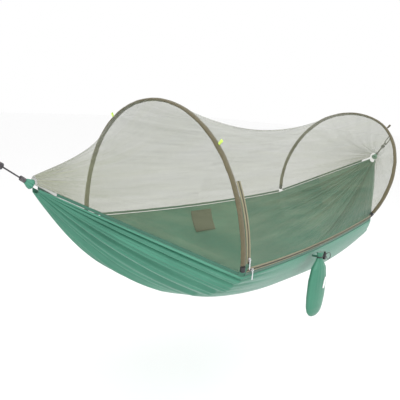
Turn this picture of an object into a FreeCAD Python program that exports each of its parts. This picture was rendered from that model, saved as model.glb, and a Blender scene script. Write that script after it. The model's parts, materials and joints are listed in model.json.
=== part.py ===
import FreeCAD, Part
import math
import os

from FreeCAD import Vector

# Pop-up mosquito-net hammock, hung between two anchors. Millimetres, +Z up.
# The origin is the bearing point of the head-end carabiner, X runs along the hammock to the foot
# end, and -Y is the side with the zipped door.

# ---- overall hang ----
RIDGE = 2500.0  # gather to gather
BED_SAG = 627.0  # lowest point of the bed below the gathers
SAG_POWER = 2.66  # how square the sagging centre line is
SAG_ROUND = 0.955
ROPE_ANGLE = 34.0  # slope of each suspension, degrees
SUSPENSION = 216.0  # bearing point of a carabiner to its gather

# ---- hoops: two sprung rods in sleeves that hold the net up ----
HEAD_HOOP_FROM_GATHER = 557.0
FOOT_HOOP_NEAR_FROM_GATHER = 738.0
FOOT_HOOP_FAR_FROM_GATHER = 520.0
HEAD_HALF_WIDTH = 526.0
FOOT_HALF_WIDTH = 387.0
HEAD_FOOT_DROP = 275.0  # rod ends below the gathers
FOOT_FOOT_DROP = 247.0
HEAD_HEIGHT = 576.0
FOOT_HEIGHT = 559.0
FOOT_LEAN = 20.4  # the foot hoop leans outwards, degrees
HEAD_SPLAY = 0.0  # how far the legs start outwards, degrees
FOOT_SPLAY = 27.9
HEAD_SIDE_TURN = 28.6  # turn of the side arc of each leg, degrees
FOOT_SIDE_TURN = 98.5
HOOP_LEAN_RANGE = 10.0  # each hoop can lean this far either way, degrees
ROD_R = 4.0
SLEEVE_HALF_WIDE = 13.0
SLEEVE_HALF_DEEP = 8.0
SLEEVE_WALL = 1.2
SLEEVE_START = 16.0  # rod end to the sleeve's mouth

# ---- rod tips and the pockets they stand in ----
TIP_R = 6.0
TIP_NECK_R = 5.2
TIP_NECK = 8.0
TIP_CLEAR = 0.15
POCKET_WALL = 2.8
POCKET_CLEAR = 1.2
POCKET_RIM = 12.0
POCKET_FLOOR = 2.0
HEM_BELOW_TIP = 20.0

# ---- hems, zips and fabric ----
BINDING_HIGH = 12.0
BINDING_THICK = 2.4
NEAR_HEM_SAG = 36.0
FAR_HEM_SAG = 20.0
HEM_PULL_IN = 0.33  # sideways share of the hem's sag
FABRIC = 1.2
NET = 1.0
NET_FROM_SLEEVE = 5.0
NET_FROM_HEM = 6.0
GAP = 0.5
TAPE_HIGH = 22.0
TAPE_THICK = 1.2
CHAIN_WIDE = 5.0
CHAIN_THICK = 2.4
TAPE_END = 20.0  # a tape stops this far from a rod end
LEG_ZIP = 320.0  # length of the zip up the head hoop's near leg
HEM_SLIDER_AT = 48.0  # rest places of the two sliders, from the rod end
LEG_SLIDER_AT = 34.0
SLIDER_LONG = 14.0
SLIDER_WIDE = 11.0
SLIDER_THICK = 4.6
SLIDER_CLEAR = 0.4
PULL_LONG = 34.0
PULL_WIDE = 6.0
PULL_THICK = 1.4
PULL_PIN_R = 0.9
PULL_KNUCKLE_R = 2.1
PULL_BORE_CLEAR = 0.3
CHANNEL_LONG = 30.0  # gathered end channel, measured along the hammock
CHANNEL_R = 19.0

# ---- suspension ----
ROPE_R = 2.5
STRAND_OFFSET = 2.8
KNOT_CORD_R = 3.0
KNOT_TURNS = 3
KNOT_AT = 98.0
WHIP_CORD_R = 1.6
WHIP_TURNS = 7
WRAP_CLEAR = 0.6
EYE_CLEAR = 1.0

# ---- carabiners ----
WIRE_R = 3.5
CARABINER_LONG = 78.0  # between the wire's centres
CARABINER_R = 14.0
GATE_R = 3.4
GATE_GAP = 0.6
GATE_PIN_R = 1.2
GATE_PIN_CLEAR = 0.3
TONGUE_THICK = 2.4
FORK_GAP = 0.4
STUB = 2.5  # straight ends of the wire beside the gate
SPRING_WIRE_R = 0.3

# ---- stuff sack hanging from the near hem ----
SACK_FROM_MIDDLE = -125.0  # along the hammock
SACK_OUT = 40.0  # centre of the sack outside the hem
SACK_BELOW_HEM = 4.0  # top of the gathered mouth
SACK_NECK_BELOW = 20.0  # tied neck below the top
SACK_HALF_WIDE = 66.0
SACK_HALF_DEEP = 28.0
SACK_LONG = 300.0
SACK_NECK_R = 14.0
HANGER_WIDE = 10.0
HANGER_THICK = 1.2
CORD_R = 1.5
STRAND_HALF_GAP = 2.4
LOCK_AT = 37.0  # cord lock's centre from the neck's centre
LOCK_R = 7.5
LOCK_WALL = 2.0
LOCK_BELOW = 16.5
LOCK_ABOVE = 11.0
BUTTON_CLEAR = 0.3
BUTTON_PROUD = 6.5
BUTTON_TRAVEL = 4.0

# ---- inner pocket on the far wall ----
POCKET_X_FROM_MIDDLE = 62.0
POCKET_WIDE = 145.0
POCKET_SHARES = (0.83, 0.955)  # its lower and upper edge, as shares of the bed's width
POCKET_THICK = 2.0
POCKET_OFF = 2.5

# ---- ribbon tabs on the sleeves, as shares of the hoop from its near end ----
HEAD_TAB_SHARES = (0.27, 0.686)
FOOT_TAB_SHARE = 0.327
TAB_WIDE = 11.0
TAB_LONG = 24.0
TAB_THICK = 1.6

Z = Vector(0, 0, 1)
ROPE_RAD = math.radians(ROPE_ANGLE)
HEAD_GATHER = Vector(SUSPENSION * math.cos(ROPE_RAD), 0, -SUSPENSION * math.sin(ROPE_RAD))
FOOT_GATHER = HEAD_GATHER + Vector(RIDGE, 0, 0)
MIDDLE = (HEAD_GATHER + FOOT_GATHER) * 0.5


def unit(v):
    return v * (1.0 / v.Length)


def export(name, shape):
    if isinstance(shape, list):
        shape = Part.makeCompound(shape)
    shape.exportStep(os.path.join("parts", name + ".step"))
    print(f"{name}: solids {len(shape.Solids)} volume {shape.Volume / 1000:.2f} cm3 valid {shape.isValid()}")


def clamped_knots(count, degree=3):
    inner = count - degree - 1
    knots = [i / (inner + 1) for i in range(inner + 2)]
    mults = [degree + 1] + [1] * inner + [degree + 1]
    return knots, mults


def net_surface(grid, rows_degree=3):
    ku, mu = clamped_knots(len(grid), rows_degree)
    kv, mv = clamped_knots(len(grid[0]))
    surface = Part.BSplineSurface()
    surface.buildFromPolesMultsKnots(grid, mu, mv, ku, kv, False, False, rows_degree, 3)
    return surface


def net_grid(point, rows, cols):
    return [[point(i / (rows - 1), j / (cols - 1)) for j in range(cols)] for i in range(rows)]


def grid_normals(grid):
    rows, cols = len(grid), len(grid[0])
    normals = []
    for i in range(rows):
        line = []
        for j in range(cols):
            du = grid[min(i + 1, rows - 1)][j] - grid[max(i - 1, 0)][j]
            dv = grid[i][min(j + 1, cols - 1)] - grid[i][max(j - 1, 0)]
            line.append(unit(du.cross(dv)))
        normals.append(line)
    return normals


def cloth(point, rows, cols, thick):
    """Closed solid of a thin cloth whose middle surface has point(i/rows, j/cols) as control net."""
    grid = net_grid(point, rows, cols)
    normals = grid_normals(grid)
    top, under = ([[p + n * (way * thick) for p, n in zip(gl, nl)] for gl, nl in zip(grid, normals)]
                  for way in (0.5, -0.5))
    surfaces = [net_surface(top), net_surface(under)]
    for i in (0, -1):
        surfaces.append(net_surface([top[i], under[i]], 1))
        surfaces.append(net_surface([[row[i] for row in top], [row[i] for row in under]], 1))
    shell = Part.makeShell([surface.toShape() for surface in surfaces])
    shell.sewShape()
    solid = Part.makeSolid(shell)
    if solid.Volume < 0:
        solid.reverse()
    return solid


def lathe(profile, start, axis):
    """Solid of revolution: profile is (distance along axis, radius) points, first and last on it."""
    side = unit(axis.cross(Vector(0, 1, 0)) if abs(axis.y) < 0.9 else axis.cross(Vector(1, 0, 0)))
    points = [start + axis * a + side * r for a, r in profile]
    face = Part.Face(Part.makePolygon(points + [points[0]]))
    return face.revolve(start, axis, 360)


def bar(a, b, thick, high, up=Z):
    """Straight strip from a to b, high along up and thick across it."""
    along = unit(b - a)
    across = unit(up.cross(along))
    rise = unit(along.cross(across))
    corner = a - across * (thick / 2) - rise * (high / 2)
    face = Part.Face(Part.makePolygon([corner, corner + across * thick, corner + across * thick + rise * high,
                                       corner + rise * high, corner]))
    return face.extrude(b - a)


def rounded_path(points):
    """Wire of straight runs with tangent arcs: each radius is 0.45 of the shorter run over tan(half turn)."""
    edges, last, radii = [], points[0], []
    for before, corner, after in zip(points, points[1:], points[2:]):
        run_in, run_out = corner - before, after - corner
        half = run_in.getAngle(run_out) / 2
        setback = 0.45 * min(run_in.Length, run_out.Length)
        radii.append(setback / math.tan(half))
        start = corner - unit(run_in) * setback
        end = corner + unit(run_out) * setback
        centre_way = unit(unit(run_out) - unit(run_in))
        middle = corner + centre_way * (radii[-1] / math.cos(half) - radii[-1])
        edges.append(Part.LineSegment(last, start).toShape())
        edges.append(Part.Arc(start, middle, end).toShape())
        last = end
    edges.append(Part.LineSegment(last, points[-1]).toShape())
    print("  radii " + " ".join(f"{r:.1f}" for r in radii))
    return Part.Wire(edges)


def tube(wire, radius):
    start = wire.Edges[0].firstVertex().Point
    way = wire.Edges[0].tangentAt(wire.Edges[0].FirstParameter)
    ring = Part.Wire([Part.makeCircle(radius, start, way)])
    return wire.makePipeShell([ring], True, False)


class Hoop:
    """Symmetric arch of three tangent arcs that stands on two rod ends."""

    def __init__(self, near, far, height, lean, splay, side_turn):
        self.near, self.far = near, far
        self.middle = (near + far) * 0.5
        self.half = (far - near).Length / 2
        self.across = unit(far - near)
        lean, self.splay = math.radians(lean), math.radians(splay)
        outwards = self.across.cross(Z)
        self.up = Z * math.cos(lean) + outwards * math.sin(lean)
        self.axial = unit(self.across.cross(self.up))
        self.turn = math.radians(side_turn)
        end = self.splay - self.turn
        # both radii follow from the width, the height and the two angles
        a, b = math.cos(self.splay) - math.cos(end), math.cos(end)
        c, d = math.sin(self.splay) - math.sin(end), math.sin(end) + 1
        self.side_r = (self.half * d - height * b) / (a * d - b * c)
        self.top_r = (self.half - a * self.side_r) / b
        self.centre = (-self.half + self.side_r * math.cos(self.splay), self.side_r * math.sin(self.splay))
        self.top_centre = (0.0, height - self.top_r)
        self.side_long = self.side_r * self.turn
        self.top_turn = math.pi / 2 + end
        self.length = 2 * (self.side_long + self.top_r * self.top_turn)

    def world(self, p, q):
        return self.middle + self.across * p + self.up * q

    def flat(self, along):
        """Centre line's point in the hoop's own plane, and the outward normal, at a length from the near end."""
        mirror = along > self.length / 2
        s = self.length - along if mirror else along
        if s <= self.side_long:
            angle = self.splay - s / self.side_r
            centre, radius = self.centre, self.side_r
        else:
            angle = self.splay - self.turn - (s - self.side_long) / self.top_r
            centre, radius = self.top_centre, self.top_r
        nx, ny = -math.cos(angle), -math.sin(angle)
        p, q = centre[0] + radius * nx, centre[1] + radius * ny
        return (-p, q, -nx, ny) if mirror else (p, q, nx, ny)

    def point(self, along):
        p, q, _, _ = self.flat(along)
        return self.world(p, q)

    def outward(self, along):
        _, _, nx, ny = self.flat(along)
        return self.across * nx + self.up * ny

    def tangent(self, along):
        return unit(self.point(along + 0.5) - self.point(along - 0.5))

    def wire(self, trim):
        cuts = [trim, self.side_long, self.length - self.side_long, self.length - trim]
        edges = []
        for a, b in zip(cuts, cuts[1:]):
            edges.append(Part.Arc(self.point(a), self.point((a + b) / 2), self.point(b)).toShape())
        return Part.Wire(edges)

    def pipe(self, trim, wide, deep):
        """Elliptical pipe along the hoop, wide along the hammock and deep across the arch."""
        major, minor = (self.axial, self.outward(trim)) if wide > deep else (self.outward(trim), self.axial)
        start = self.point(trim)
        if abs(wide - deep) < 1e-6:
            section = Part.makeCircle(wide, start, self.tangent(trim))
        else:
            s1 = start + major * max(wide, deep)
            s2 = start + minor * min(wide, deep)
            section = Part.Ellipse(s1, s2, start).toShape()
        return self.wire(trim).makePipeShell([Part.Wire([section])], True, False)


HEAD_HOOP = Hoop(
    HEAD_GATHER + Vector(HEAD_HOOP_FROM_GATHER, -HEAD_HALF_WIDTH, -HEAD_FOOT_DROP),
    HEAD_GATHER + Vector(HEAD_HOOP_FROM_GATHER, HEAD_HALF_WIDTH, -HEAD_FOOT_DROP),
    HEAD_HEIGHT, 0.0, HEAD_SPLAY, HEAD_SIDE_TURN)
FOOT_HOOP = Hoop(
    FOOT_GATHER + Vector(-FOOT_HOOP_NEAR_FROM_GATHER, -FOOT_HALF_WIDTH, -FOOT_FOOT_DROP),
    FOOT_GATHER + Vector(-FOOT_HOOP_FAR_FROM_GATHER, FOOT_HALF_WIDTH, -FOOT_FOOT_DROP),
    FOOT_HEIGHT, FOOT_LEAN, FOOT_SPLAY, FOOT_SIDE_TURN)


class HemArc:
    """Sagging hem between the rod ends of one side: a circular arc."""

    def __init__(self, side):
        self.side = side
        drop = Vector(0, 0, -HEM_BELOW_TIP)
        self.a = (HEAD_HOOP.near if side < 0 else HEAD_HOOP.far) + drop
        self.b = (FOOT_HOOP.near if side < 0 else FOOT_HOOP.far) + drop
        sag = NEAR_HEM_SAG if side < 0 else FAR_HEM_SAG
        self.chord = unit(self.b - self.a)
        down = Vector(0, -side * HEM_PULL_IN, -1)
        self.down = unit(down - self.chord * down.dot(self.chord))
        half = (self.b - self.a).Length / 2
        self.radius = (half * half + sag * sag) / (2 * sag)
        self.centre = (self.a + self.b) * 0.5 + self.down * (sag - self.radius)
        self.reach = math.asin(half / self.radius)
        self.turn_axis = self.down.cross(self.chord)
        self.out = self.turn_axis * -side  # away from the bed

    def angle(self, along):
        return -self.reach + along / self.radius

    def place(self, angle, rise=0.0, out=0.0):
        way = self.down * math.cos(angle) + self.chord * math.sin(angle)
        return self.centre + way * (self.radius - rise) + self.out * out

    def strip(self, start, end, low, high, inner, outer):
        """Curved strip between two lengths along the hem, from low to high above it."""
        a0, a1 = self.angle(start), self.angle(end)
        corners = [self.place(a0, low, inner), self.place(a0, high, inner),
                   self.place(a0, high, outer), self.place(a0, low, outer)]
        face = Part.Face(Part.makePolygon(corners + [corners[0]]))
        return face.revolve(self.centre, self.turn_axis, math.degrees(a1 - a0))

    @property
    def length(self):
        return 2 * self.reach * self.radius


NEAR_HEM = HemArc(-1)
FAR_HEM = HemArc(1)
HEAD_SHARE = 0.27  # share of the cloth's stations before the head hoop, and after the foot hoop
FOOT_SHARE = 0.30


def hem_point(side, s, lift=0.0):
    """Point of the near (-1) or far (+1) hem for station s, 0 at the head channel and 1 at the foot's."""
    arc = NEAR_HEM if side < 0 else FAR_HEM
    channel = Vector(CHANNEL_LONG, 0, 0)
    if s < HEAD_SHARE:
        start = CHANNEL_LONG / HEAD_HOOP_FROM_GATHER
        t = start + (1 - start) * s / HEAD_SHARE
        point = HEAD_GATHER + (arc.a - HEAD_GATHER) * t
    elif s > 1 - FOOT_SHARE:
        start = CHANNEL_LONG / (FOOT_GATHER.x - arc.b.x)
        t = start + (1 - start) * (1 - s) / FOOT_SHARE
        point = FOOT_GATHER + (arc.b - FOOT_GATHER) * t
    else:
        t = (s - HEAD_SHARE) / (1 - HEAD_SHARE - FOOT_SHARE)
        point = arc.place(-arc.reach + 2 * arc.reach * t)
    return point + Z * lift


def bottom_z(x):
    share = min(abs(x - MIDDLE.x) / (RIDGE / 2), 1.0)
    return MIDDLE.z - BED_SAG * (1 - share ** SAG_POWER) ** SAG_ROUND


def bed_point(s, t):
    near = hem_point(-1, s, -BINDING_HIGH / 2 - 3.0)
    far = hem_point(1, s, -BINDING_HIGH / 2 - 3.0)
    bottom_x = (near.x + far.x) / 2
    low = bottom_z(bottom_x)
    square = 1.43 + 0.3 * s
    hem = near if t < 0.5 else far
    turn = math.pi * (t if t < 0.5 else 1 - t)
    in_share = math.sin(turn) ** (2 / square)
    out_share = max(math.cos(turn), 0.0) ** (2 / square)
    return Vector(hem.x + (bottom_x - hem.x) * in_share, hem.y * out_share, hem.z - (hem.z - low) * in_share)


BED_ROWS, BED_COLS = 31, 15
BED_SURFACE = net_surface(net_grid(bed_point, BED_ROWS, BED_COLS))


def arch_edge(hoop, v, side):
    """Where a net panel meets a sleeve: v runs from the near hem over the hoop to the far hem."""
    along = min(max(v, 0.0), 1.0) * hoop.length
    at_hem = v <= 0.0 or v >= 1.0
    lift = BINDING_HIGH / 2 + NET_FROM_HEM - HEM_BELOW_TIP if at_hem else 0.0
    return hoop.point(along) + hoop.axial * (side * (SLEEVE_HALF_WIDE + NET_FROM_SLEEVE)) + Z * lift


def gather_edge(gather, way, v):
    """Where a net panel is bunched over an end channel."""
    turn = math.pi * v
    rise = -10.0 + (CHANNEL_R + 14.0) * math.sin(turn)
    return gather + Vector(way * (CHANNEL_LONG + 4.0), -CHANNEL_R * 1.5 * math.cos(turn), rise)


def saddle(a, b, u, v, hollow):
    """Point between two edges of a net panel, drawn in towards the middle as a stretched net is."""
    straight = a + (b - a) * u
    pull = hollow * 4 * u * (1 - u) * math.sin(math.pi * v)
    core = Vector(straight.x, 0, MIDDLE.z - HEAD_FOOT_DROP * 0.7)
    return straight + (core - straight) * pull


def head_net_point(u, v):
    a = gather_edge(HEAD_GATHER, 1, v)
    b = arch_edge(HEAD_HOOP, v, -1)
    return saddle(a, b, u, v, 0.14)


def foot_net_point(u, v):
    a = arch_edge(FOOT_HOOP, v, 1)
    b = gather_edge(FOOT_GATHER, -1, v)
    return saddle(a, b, u, v, 0.14)


def middle_net_point(u, v):
    if 0.0 < v < 1.0:
        return saddle(arch_edge(HEAD_HOOP, v, 1), arch_edge(FOOT_HOOP, v, -1), u, v, 0.24)
    # the two hems sag between the hoops, and the near one carries the zip
    arc, lift = (NEAR_HEM, TAPE_HIGH + GAP) if v <= 0.0 else (FAR_HEM, 0.0)
    trim = SLEEVE_HALF_WIDE + 2 * NET_FROM_SLEEVE
    start, end = arc.angle(trim), arc.angle(arc.length - trim)
    return arc.place(start + (end - start) * u) + Z * (lift + BINDING_HIGH / 2 + NET_FROM_HEM)


def rod(hoop):
    return hoop.pipe(TIP_CLEAR + 1.0, ROD_R, ROD_R)


def rod_tips(hoop):
    tips = []
    for end, foot in ((0.0, hoop.near), (hoop.length, hoop.far)):
        way = hoop.tangent(0.6) if end == 0.0 else hoop.tangent(hoop.length - 0.6) * -1
        bore = ROD_R + TIP_CLEAR
        ball = Part.makeSphere(TIP_R, foot)
        neck = Part.makeCylinder(TIP_NECK_R, TIP_NECK, foot, way)
        hole = Part.makeCylinder(bore, TIP_NECK + TIP_R, foot + way * 1.0, way)
        tips.append(ball.fuse(neck).cut(hole))
    return tips


def sleeve(hoop):
    outer = hoop.pipe(SLEEVE_START, SLEEVE_HALF_WIDE, SLEEVE_HALF_DEEP)
    inner = hoop.pipe(SLEEVE_START, SLEEVE_HALF_WIDE - SLEEVE_WALL, SLEEVE_HALF_DEEP - SLEEVE_WALL)
    return outer.cut(inner)


def tip_pocket(foot, way):
    inner = TIP_R + POCKET_CLEAR
    outer = inner + POCKET_WALL
    floor = -TIP_R - GAP
    profile = [(floor - POCKET_FLOOR, 0), (floor - POCKET_FLOOR, outer - 2), (floor, outer), (POCKET_RIM, outer),
               (POCKET_RIM, inner), (floor, inner), (floor, 0)]
    return lathe(profile, foot, way)


def hoop_tab(hoop, share):
    """Short ribbon tab that stands out from the sleeve."""
    along = share * hoop.length
    out = hoop.outward(along)
    base = hoop.point(along) + out * (SLEEVE_HALF_DEEP + 0.2)
    tip = base + out * TAB_LONG
    return bar(base, tip, TAB_THICK, TAB_WIDE, hoop.tangent(along))


def straight_binding(side, gather, corner):
    way = corner - gather
    start = gather + way * ((CHANNEL_LONG + 45.0) / abs(way.x))
    end = corner - unit(way) * 14.0
    return bar(start, end, BINDING_THICK, BINDING_HIGH)


def slider(frame_origin, along, rise, out):
    """Zip slider: a block with a groove for the chain, and two lugs with a pin for the pull.
    along, rise and out are its unit axes, and out points away from the tape."""
    groove_wide = CHAIN_WIDE + 2 * SLIDER_CLEAR
    groove_deep = CHAIN_THICK + SLIDER_CLEAR
    back = TAPE_THICK / 2 + SLIDER_CLEAR
    block = bar(frame_origin - along * (SLIDER_LONG / 2) + out * (back + SLIDER_THICK / 2),
                frame_origin + along * (SLIDER_LONG / 2) + out * (back + SLIDER_THICK / 2),
                SLIDER_THICK, SLIDER_WIDE, rise)
    groove = bar(frame_origin - along * SLIDER_LONG + out * (back + groove_deep / 2 - 0.5),
                 frame_origin + along * SLIDER_LONG + out * (back + groove_deep / 2 - 0.5),
                 groove_deep + 1.0, groove_wide, rise)
    block = block.cut(groove)
    pin_out = back + SLIDER_THICK + PULL_KNUCKLE_R + 0.5
    pin = frame_origin + out * pin_out
    return block, pin


def lugs_and_pin(block, pin, hinge, out):
    lug_half = PULL_WIDE / 2 + 0.4
    for way in (-1, 1):
        foot = pin + hinge * (way * (lug_half + 0.8)) - out * (PULL_KNUCKLE_R + 1.5)
        lug = bar(foot, foot + out * (PULL_KNUCKLE_R * 2 + 1.0), 1.6, 2.6, out.cross(hinge))
        block = block.fuse(lug)
    axle = Part.makeCylinder(PULL_PIN_R, 2 * lug_half + 2.4, pin - hinge * (lug_half + 1.2), hinge)
    return block.fuse(axle).removeSplitter()


def zip_pull(pin, hinge, down, out):
    """Flat pull that hangs from its knuckle."""
    knuckle = Part.makeCylinder(PULL_KNUCKLE_R, PULL_WIDE, pin - hinge * (PULL_WIDE / 2), hinge)
    plate = bar(pin, pin + down * PULL_LONG, PULL_THICK, PULL_WIDE, hinge)
    end = Part.makeCylinder(PULL_WIDE / 2, PULL_THICK, pin + down * PULL_LONG - out * (PULL_THICK / 2), out)
    hole = Part.makeCylinder(1.6, 10, pin + down * (PULL_LONG - 1.0) - out * 5, out)
    bore = Part.makeCylinder(PULL_PIN_R + PULL_BORE_CLEAR, 40, pin - hinge * 20, hinge)
    return knuckle.fuse([plate, end]).cut(bore).cut(hole)


def suspended(shape):
    """Takes a piece from the suspension's own axis, X from the bearing point to the gather, to the head end."""
    turned = shape.copy()
    turned.rotate(Vector(0, 0, 0), Vector(0, 1, 0), ROPE_ANGLE)
    return turned


def at_foot(shape):
    return shape.mirror(Vector(MIDDLE.x, 0, 0), Vector(1, 0, 0))


NEAR_BEND_X = CARABINER_LONG - WIRE_R  # wire's centre where the rope's eye goes round it
EYE_R = WIRE_R + EYE_CLEAR + ROPE_R
ROPE_END = SUSPENSION - 8.0


def rope_loop():
    """Doubled rope with an eye round the carabiner's wire."""
    eye = NEAR_BEND_X
    flare = KNOT_AT - 4.0
    half = rounded_path([Vector(ROPE_END, STRAND_OFFSET, 0), Vector(flare + 4.0, STRAND_OFFSET, 0),
                         Vector(flare - 8.0, EYE_R, 0), Vector(eye, EYE_R, 0)])
    other = half.mirror(Vector(0, 0, 0), Vector(0, 1, 0))
    bend = Part.Arc(Vector(eye, EYE_R, 0), Vector(eye - EYE_R, 0, 0), Vector(eye, -EYE_R, 0)).toShape()
    wire = Part.Wire(Part.__sortEdges__(half.Edges + [bend] + other.Edges))
    return tube(wire, ROPE_R)


def wraps(start, turns, cord_r, inner_r):
    """Cord wound side by side round the doubled rope: a sleeve with one bulge for each turn."""
    edges = []
    low = Vector(start, inner_r, 0)
    base = inner_r + cord_r
    edges.append(Part.LineSegment(low, Vector(start, base, 0)).toShape())
    for turn in range(turns):
        x = start + 2 * cord_r * turn
        arc = Part.Arc(Vector(x, base, 0), Vector(x + cord_r, base + cord_r, 0), Vector(x + 2 * cord_r, base, 0))
        edges.append(arc.toShape())
    end = start + 2 * cord_r * turns
    edges.append(Part.LineSegment(Vector(end, base, 0), Vector(end, inner_r, 0)).toShape())
    edges.append(Part.LineSegment(Vector(end, inner_r, 0), low).toShape())
    return Part.Face(Part.Wire(edges)).revolve(Vector(0, 0, 0), Vector(1, 0, 0), 360)


def end_channel():
    start = ROPE_END + GAP
    profile = [(start, 0), (start, 9), (start + 7, 13), (start + 16, CHANNEL_R - 1), (start + 24, CHANNEL_R),
               (start + 31, CHANNEL_R - 3), (start + 31, 0)]
    return lathe(profile, Vector(0, 0, 0), Vector(1, 0, 0))


CARABINER_FAR = CARABINER_R - WIRE_R  # centres of the two bends, along the suspension
CARABINER_NEAR = CARABINER_LONG - WIRE_R - CARABINER_R
GATE_PIVOT_X = CARABINER_NEAR - STUB - 5.0
GATE_NOSE_X = CARABINER_FAR + STUB + GATE_GAP
TONGUE_R = 2.5


def across_pin(radius, length, x):
    return Part.makeCylinder(radius, length, Vector(x, -length / 2, CARABINER_R), Vector(0, 1, 0))


def carabiner_body():
    far, near, r = CARABINER_FAR, CARABINER_NEAR, CARABINER_R
    edges = [
        Part.LineSegment(Vector(near - STUB, 0, r), Vector(near, 0, r)).toShape(),
        Part.Arc(Vector(near, 0, r), Vector(near + r, 0, 0), Vector(near, 0, -r)).toShape(),
        Part.LineSegment(Vector(near, 0, -r), Vector(far, 0, -r)).toShape(),
        Part.Arc(Vector(far, 0, -r), Vector(far - r, 0, 0), Vector(far, 0, r)).toShape(),
        Part.LineSegment(Vector(far, 0, r), Vector(far + STUB, 0, r)).toShape(),
    ]
    body = tube(Part.Wire(edges), WIRE_R)
    tongue = bar(Vector(GATE_PIVOT_X, 0, r), Vector(near - STUB + 1.0, 0, r), TONGUE_THICK, 2 * TONGUE_R)
    tongue = tongue.fuse(across_pin(TONGUE_R, TONGUE_THICK, GATE_PIVOT_X))
    return body.fuse(tongue).cut(across_pin(GATE_PIN_R, 20, GATE_PIVOT_X)).removeSplitter()


def carabiner_gate():
    r = CARABINER_R
    start = Vector(GATE_NOSE_X, 0, r)
    stem = Part.makeCylinder(GATE_R, GATE_PIVOT_X - GATE_NOSE_X, start, Vector(1, 0, 0))
    gate = stem.fuse(Part.makeSphere(GATE_R, Vector(GATE_PIVOT_X, 0, r)))
    slot_start = GATE_PIVOT_X - TONGUE_R - 1.5
    fork = TONGUE_THICK + 2 * FORK_GAP
    gate = gate.cut(Part.makeBox(20, fork, 20, Vector(slot_start, -fork / 2, r - 10)))
    gate = gate.cut(across_pin(GATE_PIN_R + GATE_PIN_CLEAR, 20, GATE_PIVOT_X))
    bore = Part.makeCylinder(1.7, 16, Vector(slot_start - 15, 0, r), Vector(1, 0, 0))
    return gate.cut(bore)


def coil(wire_r, radius, length, turns, start, way):
    """Compression spring of a given length along one of the unit axes."""
    helix = Part.makeHelix((length - 2 * wire_r) / turns, length - 2 * wire_r, radius)
    ring = Part.Wire([Part.makeCircle(wire_r, Vector(radius, 0, 0), Vector(0, 1, 0))])
    spring = Part.Wire(helix.Edges).makePipeShell([ring], True, True)
    spring.translate(Vector(0, 0, wire_r))
    turned = FreeCAD.Rotation(Z, way)
    spring.Placement = FreeCAD.Placement(start, turned).multiply(spring.Placement)
    return spring


def gate_spring():
    length = 15 + 1.5 - GAP
    start = Vector(GATE_PIVOT_X - TONGUE_R - 1.5 - 15 + 0.2, 0, CARABINER_R)
    return coil(SPRING_WIRE_R, 1.2, length, 9, start, Vector(1, 0, 0))


def neck_centre():
    arc = NEAR_HEM
    along = (MIDDLE.x + SACK_FROM_MIDDLE - arc.a.x) / arc.chord.x
    hem = arc.place(arc.angle(along))
    return hem + Vector(0, -SACK_OUT, -SACK_BELOW_HEM - SACK_NECK_BELOW), hem


def ellipse_wire(centre, wide, deep):
    ring = Part.Ellipse(centre + Vector(wide, 0, 0), centre + Vector(0, deep, 0), centre)
    return Part.Wire([ring.toShape()])


def stuff_sack():
    neck, _ = neck_centre()
    top = neck.z + SACK_NECK_BELOW
    wide, deep = SACK_HALF_WIDE, SACK_HALF_DEEP
    sections = [(0, 22, 14), (10, 17, 12), (SACK_NECK_BELOW, SACK_NECK_R, 11), (SACK_NECK_BELOW + 14, 22, 14),
                (0.23 * SACK_LONG, wide * 0.76, deep * 0.85), (0.42 * SACK_LONG, wide * 0.93, deep),
                (0.68 * SACK_LONG, wide, deep), (0.88 * SACK_LONG, wide * 0.9, deep * 0.8),
                (0.97 * SACK_LONG, wide * 0.68, deep * 0.5), (SACK_LONG, wide * 0.4, deep * 0.25)]
    rings = [ellipse_wire(Vector(neck.x, neck.y, top - down), w, d) for down, w, d in sections]
    return Part.makeLoft(rings, True, False)


def sack_hanger():
    """Ribbon from the bed's wall, just under the hem, to the sack's neck."""
    neck, hem = neck_centre()
    start = Vector(neck.x, hem.y + 1.0, neck.z - 4.0)
    end = Vector(neck.x, neck.y + 12.5, neck.z - 2.0)
    return bar(start, end, HANGER_WIDE, HANGER_THICK)


DRAWSTRING = [(17, 2.2), (30, 2.8), (46, 2.2), (60, 7), (74, 9), (86, 0), (90, -14), (80, -25), (65, -24), (58, -12),
              (49, -2.8), (32, -2.4), (17, -2.2)]


def drawstring():
    neck, _ = neck_centre()
    return tube(rounded_path([neck + Vector(x, 0, z) for x, z in DRAWSTRING]), CORD_R)


def lock_axis(below, above, radius):
    neck, _ = neck_centre()
    return Part.makeCylinder(radius, above + below, neck + Vector(LOCK_AT, 0, -below), Z)


def lock_slot(low, high, room):
    neck, _ = neck_centre()
    wide = 2 * (CORD_R + room)
    return Part.makeBox(60, wide, high - low, neck + Vector(LOCK_AT - 30, -wide / 2, low))


STRAND_REACH = STRAND_HALF_GAP + CORD_R + 1.0


def lock_body():
    body = lock_axis(LOCK_BELOW, LOCK_ABOVE, LOCK_R)
    cavity = lock_axis(LOCK_BELOW - LOCK_WALL, LOCK_ABOVE + 1, LOCK_R - LOCK_WALL)
    return body.cut(cavity).cut(lock_slot(-STRAND_REACH, STRAND_REACH, 0.6))


def lock_button():
    plunger = lock_axis(STRAND_REACH + 1.4, LOCK_ABOVE + BUTTON_PROUD, LOCK_R - LOCK_WALL - BUTTON_CLEAR)
    return plunger.cut(lock_slot(-STRAND_REACH, STRAND_REACH + BUTTON_TRAVEL, 0.6))


def lock_spring():
    neck, _ = neck_centre()
    floor = -LOCK_BELOW + LOCK_WALL + 0.1
    length = LOCK_BELOW - LOCK_WALL - STRAND_REACH - 1.4 - 0.2
    return coil(0.35, 3.4, length, 4, neck + Vector(LOCK_AT, 0, floor), Z)


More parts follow.
